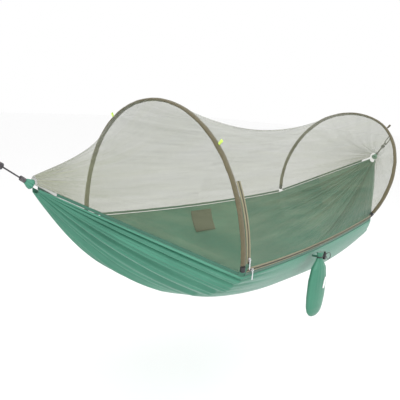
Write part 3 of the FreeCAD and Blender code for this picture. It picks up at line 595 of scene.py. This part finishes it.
# ---------------------------------------------------------------- cords, first
def nurbs_cord(name, points, radius, mat, body, nodes):
    curve = bpy.data.curves.new(name, "CURVE")
    curve.dimensions = "3D"
    curve.bevel_depth = radius
    curve.bevel_resolution = 4
    curve.resolution_u = 10
    curve.use_fill_caps = True
    spline = curve.splines.new("NURBS")
    spline.points.add(len(points) - 1)
    for p, q in zip(spline.points, points):
        p.co = (*q, 1)
    spline.order_u = 3
    spline.use_endpoint_u = True
    return link(name, curve, mat, body, nodes)


def suspended(x, y, z):
    """From the suspension's own axis to the head end."""
    c, s = math.cos(ROPE_RAD), math.sin(ROPE_RAD)
    return np.array([x * c + z * s, y, -x * s + z * c])


def at_foot(p):
    return np.array([2 * MIDDLE[0] - p[0], p[1], p[2]])


ENDS = (("head", lambda p: p), ("foot", at_foot))
ROPE_END = SUSPENSION - 0.008
STRAND = 0.0028
EYE_X, EYE_R = 0.0745, 0.0070
FLARE_X, PART_X = 0.086, 0.098  # where the eye's sides end, and where the strands start to part
ROPE_ROUTE = [(ROPE_END, STRAND), (PART_X, STRAND), (FLARE_X, EYE_R), (EYE_X, EYE_R),
              (EYE_X - EYE_R, EYE_R), (EYE_X - EYE_R, -EYE_R), (EYE_X, -EYE_R),
              (FLARE_X, -EYE_R), (PART_X, -STRAND), (ROPE_END, -STRAND)]
# x and z from the neck, in millimetres
DRAWSTRING = [(17, 2.2), (30, 2.8), (46, 2.2), (60, 7), (74, 9), (86, 0), (90, -14), (80, -25),
              (65, -24), (58, -12), (49, -2.8), (32, -2.4), (17, -2.2)]
SACK_X = MIDDLE[0] - 0.125


def neck_centre():
    along = (SACK_X - NEAR_HEM.a[0]) / NEAR_HEM.chord[0]
    hem = NEAR_HEM.place(along)
    return hem + np.array([0, -0.040, -0.024]), hem


NECK, NECK_HEM = neck_centre()


def make_cords():
    for end, flip in ENDS:
        points = [flip(suspended(x, y, 0.0)) for x, y in ROPE_ROUTE]
        rope = nurbs_cord(end + "_rope_line", points, 0.0025, ROPE, "hammock", [end + "_rope"])
    points = [NECK + np.array([x, 0, z]) / 1000 for x, z in DRAWSTRING]
    cord = nurbs_cord("drawstring_line", points, 0.0015, CORD, "sack", ["drawstring"])


# ---------------------------------------------------------------- the bed
def ridges(count, sharp, seed):
    """A pattern of count unevenly spaced folds over 0..1."""
    rng = np.random.default_rng(seed)
    cuts = np.cumsum(rng.uniform(0.55, 1.45, count))
    cuts = np.concatenate([[0], cuts / cuts[-1]])
    heights = rng.uniform(0.5, 1.0, count)

    def pattern(t):
        k = np.clip(np.searchsorted(cuts, t, side="right") - 1, 0, count - 1)
        share = (t - cuts[k]) / (cuts[k + 1] - cuts[k])
        return heights[k] * (1 - np.abs(2 * np.clip(share, 0, 1) - 1) ** sharp) - 0.4
    return pattern


def smooth(a, low, high):
    x = np.clip((a - low) / (high - low), 0, 1)
    return x * x * (3 - 2 * x)


def noise_grid(n, m, cells_n, cells_m, seed):
    """Smooth random field in -1..1."""
    rng = np.random.default_rng(seed)
    coarse = rng.uniform(-1, 1, (cells_n + 3, cells_m + 3))

    def lift(a, count, cells, axis):
        x = np.linspace(0, cells, count)
        i = np.minimum(x.astype(int), cells - 1)
        f = x - i
        weights = ((1 - f) ** 3 / 6, (3 * f ** 3 - 6 * f ** 2 + 4) / 6,
                   (-3 * f ** 3 + 3 * f ** 2 + 3 * f + 1) / 6, f ** 3 / 6)
        parts = []
        for k, w in enumerate(weights):
            taken = np.take(a, i + k, axis=axis)
            parts.append(taken * (w[:, None] if axis == 0 else w[None, :]))
        return sum(parts)
    wide = lift(coarse, n, cells_n, 0)
    return lift(wide, m, cells_m, 1) * 1.6


def normals_of(points):
    du = np.gradient(points, axis=0)
    dv = np.gradient(points, axis=1)
    n = np.cross(du, dv)
    return n / np.maximum(np.linalg.norm(n, axis=2), 1e-9)[..., None]


def make_bed():
    n, m = 300, 260
    s = np.linspace(0, 1, n)
    t = np.linspace(0, 1, m)
    base = np.array([[bed_point(a, b) for b in t] for a in s])
    normal = normals_of(base)
    girth = np.linalg.norm(np.diff(base, axis=1), axis=2).sum(1)
    from_head = base[:, :, 0] - HEAD_GATHER[0]
    from_foot = FOOT_GATHER[0] - base[:, :, 0]
    edge = np.minimum(t, 1 - t)[None, :]
    taper = 0.25 + 0.75 * smooth(edge, 0.0, 0.06)
    lift = np.zeros((n, m))
    for away, reach, seeds in ((from_head, 0.95, (3, 5, 8)), (from_foot, 0.85, (13, 15, 18))):
        sway = noise_grid(n, m, 6, 10, seeds[0]) * 0.010 + noise_grid(n, m, 14, 14, seeds[1]) * 0.004
        where = t[None, :] + sway * smooth(away, 0.05, 0.6)
        wide = ridges(15, 1.7, seeds[0])(where)
        fine = ridges(34, 1.5, seeds[1])(where)
        strength = 1 - smooth(away, 0.25 * reach, reach) ** 0.8
        lift += (wide * 0.62 * girth[:, None] / 15 * strength ** 1.3
                 + fine * 0.55 * girth[:, None] / 34 * strength ** 1.6)
        patches = 0.55 + 0.45 * noise_grid(n, m, 5, 12, seeds[2])
        lift += ridges(22, 1.6, seeds[2])(where) * 0.0045 * patches * (1 - smooth(away, 0.4, 1.25))
    lift += noise_grid(n, m, 10, 10, 21) * 0.0030 + noise_grid(n, m, 26, 24, 22) * 0.0011
    # one long crease low on the near side
    centre = 0.33 + 0.05 * np.sin(np.linspace(0, 3.0, n))
    crease = np.exp(-((t[None, :] - centre[:, None]) / 0.012) ** 2)
    lift -= 0.006 * crease * smooth(s, 0.20, 0.30)[:, None] * (1 - smooth(s, 0.52, 0.66))[:, None]
    points = base + normal * (-lift * taper)[..., None]
    mesh = grid_mesh("bed_cloth", points)
    bed = link("bed_cloth", mesh, BED, "hammock", ["bed_fabric"])
    solidify(bed, 0.0008)
    return bed


def make_end_channel(end, flip):
    """The cloth drawn together and bound: a fluted bundle that opens towards the bed."""
    rings = []
    sides = 96
    angles = np.linspace(0, TAU, sides + 1)[:-1]
    rng = np.random.default_rng(31 if end == "head" else 32)
    phases = rng.uniform(0, TAU, 4)
    profile = ((0.0085, 0.0060), (0.0085, 0.0085), (0.012, 0.0105), (0.018, 0.0125), (0.024, 0.0155),
               (0.031, 0.0178), (0.036, 0.0182), (0.0385, 0.0150), (0.0385, 0.0080))
    for x, r in profile:
        flute = (1 + 0.07 * np.cos(11 * angles + phases[0]) + 0.05 * np.cos(17 * angles + phases[1])
                 + 0.04 * np.cos(29 * angles + phases[2] + x * 60))
        radii = r * flute * 0.92
        rings.append([flip(suspended(ROPE_END - 0.008 + x, q * math.cos(a), q * math.sin(a)))
                      for a, q in zip(angles, radii)])
    mesh = grid_mesh(end + "_gathered_end", np.array(rings), wrap=True, caps=True)
    return link(end + "_gathered_end", mesh, BED, "hammock", [end + "_end_channel"])


WOUND_R = 0.0059  # inside of the cord wound round the doubled rope


def helix_turns(start, turns, cord_r, inner_r, flip, seed):
    """Cord wound side by side round the doubled rope."""
    rng = np.random.default_rng(seed)
    steps = 22
    at = np.arange(turns * steps + 1) / steps
    r = inner_r + cord_r * (1.0 + 0.05 * rng.standard_normal(len(at)).cumsum() / len(at))
    along = start + cord_r + 2 * cord_r * at * (turns - 1) / turns
    line = np.array([flip(suspended(x, q * math.cos(TAU * a), q * math.sin(TAU * a)))
                     for x, a, q in zip(along, at, r)])
    return sweep(line, cord_r * 0.98)


def make_suspension():
    for k, (end, flip) in enumerate(ENDS):
        make_end_channel(end, flip)
        knot = helix_turns(PART_X, 3, 0.0030, WOUND_R, flip, 40 + k)
        joined(end + "_knot_turns", [knot], ROPE, "hammock", [end + "_knot"])
        whipping = helix_turns(ROPE_END - 0.0224, 7, 0.0016, WOUND_R, flip, 50 + k)
        joined(end + "_whipping_turns", [whipping], ROPE_GREY, "hammock", [end + "_whipping"])


# ---------------------------------------------------------------- hems, zips and sleeves
HEM_SECTION = (0.0058, 0.0020)  # half width and thickness


def make_hems():
    for name, arc in (("near", NEAR_HEM), ("far", FAR_HEM)):
        for part, gather, corner in (("head", HEAD_GATHER, arc.a), ("foot", FOOT_GATHER, arc.b)):
            way = corner - gather
            start = gather + way * (0.075 / abs(way[0]))
            end = corner - unit(way) * CORNER_GAP
            count = 90
            share = np.linspace(0, 1, count)
            line = start + np.outer(share, end - start)
            ripple = np.sin(share * 46) * np.sin(share * 17 + 1) * (1 - share) * 0.0016
            across = np.tile(unit(np.cross(unit(way), np.cross(UP, unit(way)))), (count, 1))
            out = np.cross(across, unit(way))
            line = line + out * ripple[:, None]
            band(f"{name}_{part}_hem", line, across, out, *HEM_SECTION, HEM, "hammock", "binding",
                 [f"{name}_{part}_binding"], 0.0002)
        count = 160
        line = arc.line(CORNER_GAP, arc.length - CORNER_GAP, count)
        rise = arc.rises(CORNER_GAP, arc.length - CORNER_GAP, count)
        share = np.linspace(0, 1, count)
        line = line + rise * (np.sin(share * 75) * 0.0003)[:, None]
        out = np.tile(arc.out, (count, 1))
        band(f"{name}_middle_hem", line, rise, out, *HEM_SECTION, HEM, "hammock", "binding",
             [f"{name}_middle_binding"], 0.0002)
        face = arc.line(0.02, arc.length - 0.02, 200, -0.0038, 0.0014)
        stitches(f"{name}_hem_stitching", face, arc.out, THREAD, "hammock")


TAPE_LOW, TAPE_HIGH = 0.0065, 0.022
TAPE_MID = TAPE_LOW + TAPE_HIGH / 2
TAPE_THICK = 0.0010
TAPE_START = 0.020  # the hem's tape starts this far from a hoop's foot


def teeth(name, line, across, out, half_wide, high, mat, body, nodes, pitch=0.0024):
    """Zip coil: two interleaved rows of arched teeth."""
    spots = resample(line, pitch)
    across_at = resample_dirs(line, across, spots)
    out_at = resample_dirs(line, out, spots)
    ways = frames_along(spots)
    grids = []
    arch = ((0.98, 0.05, 0.8), (0.75, 0.72, 1.0), (0.1, 0.95, 1.0), (-0.22, 0.55, 0.85))
    round_it = (0.5, 1.6, 2.7, 3.9, 5.5)
    for i, (p, t, a, o) in enumerate(zip(spots, ways, across_at, out_at)):
        side = 1 if i % 2 else -1
        rows = []
        for share, rise, r in arch:
            c = p + a * (half_wide * side * share) + o * (high * rise - 0.0003)
            rows.append([c + (t * math.cos(q) + o * math.sin(q)) * pitch * 0.46 * r for q in round_it])
        grids.append(np.array(rows))
    return joined(name, grids, mat, body, nodes)


def resample_dirs(line, dirs, spots):
    steps = np.concatenate([[0], np.cumsum(np.linalg.norm(np.diff(line, axis=0), axis=1))])
    at = np.linspace(0, steps[-1], len(spots))
    made = np.stack([np.interp(at, steps, dirs[:, k]) for k in range(3)], 1)
    return made / np.linalg.norm(made, axis=1)[:, None]


def make_zips():
    start, end, count = TAPE_START, NEAR_HEM.length - TAPE_START, 200
    rise = NEAR_HEM.rises(start, end, count)
    out = np.tile(NEAR_HEM.out, (count, 1))
    line = NEAR_HEM.line(start, end, count, TAPE_MID)
    tape = band("hem_tape", line, rise, out, TAPE_HIGH / 2, TAPE_THICK, TAPE, "hammock", "zip_tape",
                ["hem_zip_tape"])
    for low, label in ((TAPE_LOW + 0.0018, "low"), (TAPE_LOW + TAPE_HIGH - 0.0018, "high")):
        seam = NEAR_HEM.line(start, end, count, low, 0.0007)
        stitches(f"hem_tape_stitching_{label}", seam, NEAR_HEM.out, THREAD_TAN, "hammock")
    line = NEAR_HEM.line(start, end, count, TAPE_MID, 0.0006)
    teeth("hem_coil", line, rise, out, 0.0024, 0.0022, CHAIN, "hammock", ["hem_zip_chain"])
    hoop = HEAD_HOOP
    at = HOOP_HALF_WIDE + 0.001 + TAPE_HIGH / 2
    line, outs = hoop.line(0.020, 0.320, 120)
    axial = np.tile(hoop.axial, (120, 1))
    tape = band("leg_tape", line + axial * at + outs * 0.003, axial, outs, TAPE_HIGH / 2, TAPE_THICK, TAPE,
                "head_hoop", "zip_tape", ["leg_zip_tape"])
    teeth("leg_coil", line + axial * at + outs * 0.0036, axial, outs, 0.0024, 0.0022, CHAIN,
          "head_hoop", ["leg_zip_chain"])


def make_sleeves():
    for name, hoop in (("head", HEAD_HOOP), ("foot", FOOT_HOOP)):
        count, sides = 420, 40
        start, half_wide, half_deep = 0.016, 0.0124, 0.0068
        line, outs = hoop.line(start, hoop.length - start, count)
        angles = np.linspace(0, TAU, sides + 1)[:-1]
        ca, sa = np.cos(angles), np.sin(angles)
        wrinkle = noise_grid(count, sides, 90, 6, 63) * 0.0007
        wrinkle += noise_grid(count, sides, 160, 10, 64) * 0.0003
        wrinkle -= wrinkle.mean()
        ends = np.minimum(np.linspace(0, 1, count), np.linspace(1, 0, count))
        hem = 1 + 0.05 * np.exp(-(ends / 0.004) ** 2)
        sx = np.sign(ca) * np.abs(ca) ** 1.15 * half_wide
        sy = sa * half_deep
        scale = (1 + wrinkle / 0.008) * hem[:, None]
        points = (line[:, None] + hoop.axial[None, None] * (sx[None, :] * scale)[..., None]
                  + outs[:, None] * (sy[None, :] * scale)[..., None])
        inner = (line[:, None] + hoop.axial[None, None] * (sx * 0.88)[None, :, None]
                 + outs[:, None] * (sy * 0.85)[None, :, None])
        shell = np.concatenate([inner[:1], points, inner[-1:], inner[::-1]], 0)[:, ::-1]
        mesh = grid_mesh(name + "_sleeve_cloth", shell, wrap=True)
        link(name + "_sleeve_cloth", mesh, SLEEVE, f"{name}_hoop", [name + "_sleeve"])
        for way in (-1, 1):
            seam = line + hoop.axial * (way * 0.0094) + outs * 0.0048
            label = "a" if way < 0 else "b"
            stitches(f"{name}_sleeve_stitching_{label}", seam, unit(outs.mean(0)), THREAD_TAN,
                     f"{name}_hoop", 0.005, 0.0030, 0.0004)


def make_ribbons():
    for node, hoop, share, body in (("near_ribbon_tab", HEAD_HOOP, 0.27, "head_hoop"),
                                    ("far_ribbon_tab", HEAD_HOOP, 0.686, "head_hoop"),
                                    ("foot_ribbon_tab", FOOT_HOOP, 0.327, "foot_hoop")):
        along = share * hoop.length
        out = hoop.outward(along)
        base = hoop.point(along) + out * 0.0082
        tangent = unit(hoop.point(along + 0.001) - hoop.point(along - 0.001))
        loop = []
        count, high = 33, 0.0235
        for a in np.linspace(0, 1, count):
            turn = a * 2 if a < 0.5 else 2 - 2 * a
            side = 1 if a < 0.5 else -1
            gap = 0.0006 + 0.0014 * math.sin(math.pi * min(turn, 1.0)) ** 2 * (1 if turn < 0.9 else 0.9)
            loop.append(base + out * (high * math.sin(turn * math.pi / 2)) + hoop.axial * side * gap)
        line = np.array(loop)
        across = np.tile(tangent, (count, 1))
        normal = np.cross(frames_along(line), across)
        mat = RIBBON if node != "foot_ribbon_tab" else SLEEVE
        band(node + "_loop", line, across, normal, 0.0054, 0.0007, mat, body, "ribbon", [node])


# ---------------------------------------------------------------- the net
def arch_edge(hoop, v, side):
    along = min(max(v, 0.0), 1.0) * hoop.length
    return hoop.point(along) + hoop.axial * (side * 0.0125) - hoop.outward(along) * 0.002


def gather_edge(gather, way, v):
    turn = math.pi * v
    rise = -0.010 + 0.030 * math.sin(turn)
    return gather + np.array([way * 0.026, -0.024 * math.cos(turn), rise])


def saddle(a, b, u, v, hollow):
    straight = a + (b - a) * u
    pull = hollow * 4 * u * (1 - u) * math.sin(math.pi * v)
    core = np.array([straight[0], 0, MIDDLE[2] - 0.275 * 0.7])
    return straight + (core - straight) * pull


def skirt_foot(gather, corner, share):
    """Where an end panel meets the straight hem, just above it."""
    start = gather + (corner - gather) * 0.06
    end = corner - unit(corner - gather) * CORNER_GAP
    return start + (end - start) * share + UP * 0.004


def net_point(panel, u, v):
    """v runs from the near hem over the hoop to the far hem; its first and last share drop to the hem."""
    skirt = 0.02
    inner = min(max((v - skirt) / (1 - 2 * skirt), 0.0), 1.0)
    if panel == "head":
        point = saddle(gather_edge(HEAD_GATHER, 1, inner), arch_edge(HEAD_HOOP, inner, -1), u, inner, 0.16)
    elif panel == "foot":
        point = saddle(arch_edge(FOOT_HOOP, inner, 1), gather_edge(FOOT_GATHER, -1, inner), u, inner, 0.14)
    else:
        point = saddle(arch_edge(HEAD_HOOP, inner, 1), arch_edge(FOOT_HOOP, inner, -1), u, inner, 0.24)
    if skirt <= v <= 1 - skirt:
        return point
    side = -1 if v < 0.5 else 1
    share = 1 - (v / skirt if v < 0.5 else (1 - v) / skirt)
    arc = NEAR_HEM if side < 0 else FAR_HEM
    if panel == "middle":
        rise = (TAPE_LOW + TAPE_HIGH - 0.002) if side < 0 else 0.004
        foot = arc.place(CORNER_GAP + (arc.length - 2 * CORNER_GAP) * u, rise)
    elif panel == "head":
        foot = skirt_foot(HEAD_GATHER, arc.a, u)
    else:
        foot = skirt_foot(FOOT_GATHER, arc.b, 1 - u)
    return point + (foot - point) * share


def net_panel(name, panel, u0, u1, n, seed, nodes):
    m = 300
    us, vs = np.linspace(u0, u1, n), np.linspace(0, 1, m)
    base = np.array([[net_point(panel, a, b) for b in vs] for a in us])
    normal = normals_of(base)
    if panel == "head":
        near_gather = 1 - us
    elif panel == "foot":
        near_gather = us
    else:
        near_gather = np.zeros(n)
    girth = np.linalg.norm(np.diff(base, axis=1), axis=2).sum(1)
    edge = smooth(np.minimum(vs, 1 - vs), 0.0, 0.05)[None, :]
    sway = noise_field(3, 6, seed)(us, vs) * 0.012
    where = vs[None, :] + sway
    wide = ridges(17, 1.7, seed)(where)
    fine = ridges(41, 1.6, seed + 1)(where)
    if panel == "middle":
        patches = 0.5 + 0.5 * noise_field(2, 12, seed + 2)(us, vs)
        hold = (0.35 + 0.65 * np.sin(math.pi * us) ** 0.7)[:, None]
        lift = (wide * 0.0075 + fine * 0.0032) * patches * hold
        bunched = 0.10 + 0.22 * np.clip(wide, 0, 1) * patches
    else:
        grow = (near_gather ** 0.8)[:, None]
        lift = (wide * 0.10 * girth[:, None] / 17 + fine * 0.14 * girth[:, None] / 41) * (0.25 + 0.75 * grow)
        lift *= smooth(1 - near_gather, 0.0, 0.08)[:, None] * 0.6 + 0.4
        bunched = np.clip(near_gather[:, None] ** 2.2 * 1.1 + 0.20 * grow * np.clip(wide, 0, 1), 0, 1)
    points = base + normal * (lift * edge)[..., None]
    mesh = grid_mesh(name, points)
    attribute = mesh.attributes.new("bunched", "FLOAT", "POINT")
    attribute.data.foreach_set("value", np.broadcast_to(bunched, (n, m)).astype(np.float32).ravel())
    obj = link(name, mesh, NET, None, nodes)
    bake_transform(obj)
    return obj


def noise_field(cells_u, cells_v, seed):
    """Smooth noise over the whole panel, the same for both halves of a split one."""
    cells_i, cells_j = 240, 300
    grid = noise_grid(cells_i + 1, cells_j + 1, cells_u, cells_v, seed)

    def value(us, vs):
        i = np.clip(us * cells_i, 0, cells_i - 0.001)
        j = np.clip(vs * cells_j, 0, cells_j - 0.001)
        i0, j0 = i.astype(int), j.astype(int)
        fi, fj = (i - i0)[:, None], (j - j0)[None, :]
        a = grid[np.ix_(i0, j0)] * (1 - fi) + grid[np.ix_(i0 + 1, j0)] * fi
        b = grid[np.ix_(i0, j0 + 1)] * (1 - fi) + grid[np.ix_(i0 + 1, j0 + 1)] * fi
        return a * (1 - fj) + b * fj
    return value


def make_net():
    head = net_panel("head_net_cloth", "head", 0, 1, 110, 71, ["head_net"])
    foot = net_panel("foot_net_cloth", "foot", 0, 1, 110, 81, ["foot_net"])
    split = 0.5
    for end, u0, u1, hoop, side in (("head", 0, split, HEAD_HOOP, 1), ("foot", split, 1, FOOT_HOOP, -1)):
        half = net_panel(f"middle_net_{end}_half", "middle", u0, u1, 100, 91, ["middle_net"])


# ---------------------------------------------------------------- pocket inside, sack
def make_pocket():
    low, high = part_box("inner_pocket")
    low, high = np.array(low), np.array(high)
    span_x = FAR_HEM.b[0] - FAR_HEM.a[0]
    n, m = 40, 34
    rows = []
    for u in np.linspace(0, 1, n):
        past_hoop = low[0] + (high[0] - low[0]) * u - FAR_HEM.a[0]
        s = HEAD_SHARE + (1 - HEAD_SHARE - FOOT_SHARE) * past_hoop / span_x
        rows.append([bed_point(s, t) for t in np.linspace(0.83, 0.955, m)])
    base = np.array(rows)
    normal = normals_of(base)
    if normal[..., 2].mean() < 0:
        normal = -normal
    u, v = np.meshgrid(np.linspace(0, 1, n), np.linspace(0, 1, m), indexing="ij")
    belly = np.sin(math.pi * u) * np.sin(math.pi * np.clip(v * 0.6 + 0.4, 0, 1))
    out = 0.0035 + 0.0035 * belly + noise_grid(n, m, 6, 5, 101) * 0.0006
    mesh = grid_mesh("inner_pocket_cloth", base + normal * out[..., None])
    obj = link("inner_pocket_cloth", mesh, POCKET, "hammock", ["inner_pocket"])
    solidify(obj, 0.0010)


SACK_TOP = 0.020
SACK_LONG = 0.300
# down from the sack's top, half width and half depth, in millimetres
SACK_KEYS = [(0, 22, 13.5), (10, 17, 12), (20, 13.5, 10.5), (34, 22, 14), (69, 50, 23), (126, 61, 27),
             (204, 62, 27), (250, 56, 24), (275, 48, 19), (291, 34, 12), (298, 18, 6), (300, 4, 1.5)]


def make_sack():
    n, m = 150, 160
    down = np.linspace(0, SACK_LONG, n)
    angles = np.linspace(0, TAU, m + 1)[:-1]
    keys = np.array(SACK_KEYS) / 1000
    from_neck = np.abs(down - SACK_TOP)
    rows = []
    pleats = ridges(15, 1.6, 111)((angles / TAU) % 1)
    fine = ridges(31, 1.5, 112)((angles / TAU) % 1)
    body = noise_grid(n, m, 7, 9, 113)
    body = body * smooth(np.minimum(angles, TAU - angles), 0, 0.5)[None, :]
    for i, d in enumerate(down):
        wide = np.interp(d, keys[:, 0], keys[:, 1])
        deep = np.interp(d, keys[:, 0], keys[:, 2])
        gather = math.exp(-from_neck[i] / 0.055)
        ring = 1 - 0.16 * gather * (0.5 - pleats) - 0.08 * gather * (0.5 - fine)
        ring = np.minimum(ring + 0.030 * body[i] * (1 - gather), 1.04)
        sway = -0.004 * smooth(d, 0.08, 0.28)
        x = NECK[0] + sway + wide * ring * np.cos(angles)
        y = NECK[1] + deep * ring * np.sin(angles)
        rows.append(np.stack([x, y, np.full(m, NECK[2] + SACK_TOP - d)], 1))
    points = np.array(rows)
    smooth_rows(points, 3)
    mesh = grid_mesh("sack_cloth", points[:, ::-1], wrap=True, caps=True)
    obj = link("sack_cloth", mesh, SACK, "sack", ["stuff_sack"])
    # cord round the neck
    turns = []
    for a in np.linspace(0, 2 * TAU, 90):
        rise = -0.0016 + 0.0032 * a / (2 * TAU)
        turns.append(NECK + np.array([0.0150 * math.cos(a), 0.0118 * math.sin(a), rise]))
    joined("sack_neck_cord", [sweep(np.array(turns), 0.0014)], CORD, "sack", [])
    make_patch()


def smooth_rows(points, passes):
    for _ in range(passes):
        points[1:-1] = points[1:-1] * 0.5 + (points[:-2] + points[2:]) * 0.25


def make_patch():
    """A plain woven patch sewn on the front."""
    high, wide = 0.052, 0.020
    front_wide, front_deep = 0.0615, 0.0272
    n, m = 24, 12
    centre = SACK_TOP - 0.135
    rows = []
    for q in np.linspace(-1, 1, n):
        row = []
        for p in np.linspace(-1, 1, m):
            x = p * wide / 2 * (1 - 0.25 * abs(q) ** 4) + 0.018 + q * 0.006
            share = min(abs(x) / front_wide, 0.999)
            y = -front_deep * math.sqrt(1 - share ** 2) - 0.0012
            z = centre + q * high / 2 * (1 - 0.06 * abs(p) ** 4)
            row.append(NECK + np.array([x, y, z]))
        rows.append(row)
    mesh = grid_mesh("sack_patch", np.array(rows))
    obj = link("sack_patch", mesh, PATCH, "sack", [])
    solidify(obj, 0.0006)


def make_hanger():
    start = np.array([NECK[0], NECK_HEM[1] + 0.001, NECK[2] - 0.004])
    end = np.array([NECK[0], NECK[1] + 0.0125, NECK[2] - 0.002])
    count = 20
    line = start + np.outer(np.linspace(0, 1, count), end - start)
    across = np.tile(UP, (count, 1))
    out = np.tile(np.array([1.0, 0, 0]), (count, 1))
    band("hanger_ribbon", line, across, out, 0.0049, 0.0010, HEM, "sack", "cord", ["sack_hanger"])


# ---------------------------------------------------------------- CAD nodes that stay
def paint_nodes():
    finish = {
        ZIP_METAL: ["hem_slider", "hem_pull", "leg_slider", "leg_pull"],
        DARK_METAL: ["head_carabiner", "foot_carabiner", "head_gate", "foot_gate"],
        STEEL: ["head_gate_pin", "foot_gate_pin", "head_gate_spring", "foot_gate_spring", "lock_spring"],
        BLACK: ["cord_lock", "lock_button", "head_near_pocket", "head_far_pocket", "foot_near_pocket",
                "foot_far_pocket", "head_rod_tips", "foot_rod_tips"],
        ROD: ["head_rod", "foot_rod"],
    }
    for mat, names in finish.items():
        for name in names:
            NODES[name].data.materials.clear()
            NODES[name].data.materials.append(mat)


make_camera()
make_cords()
make_studio()
bed = make_bed()
make_suspension()
make_hems()
make_zips()
make_sleeves()
make_ribbons()
make_net()
make_pocket()
make_sack()
make_hanger()
paint_nodes()
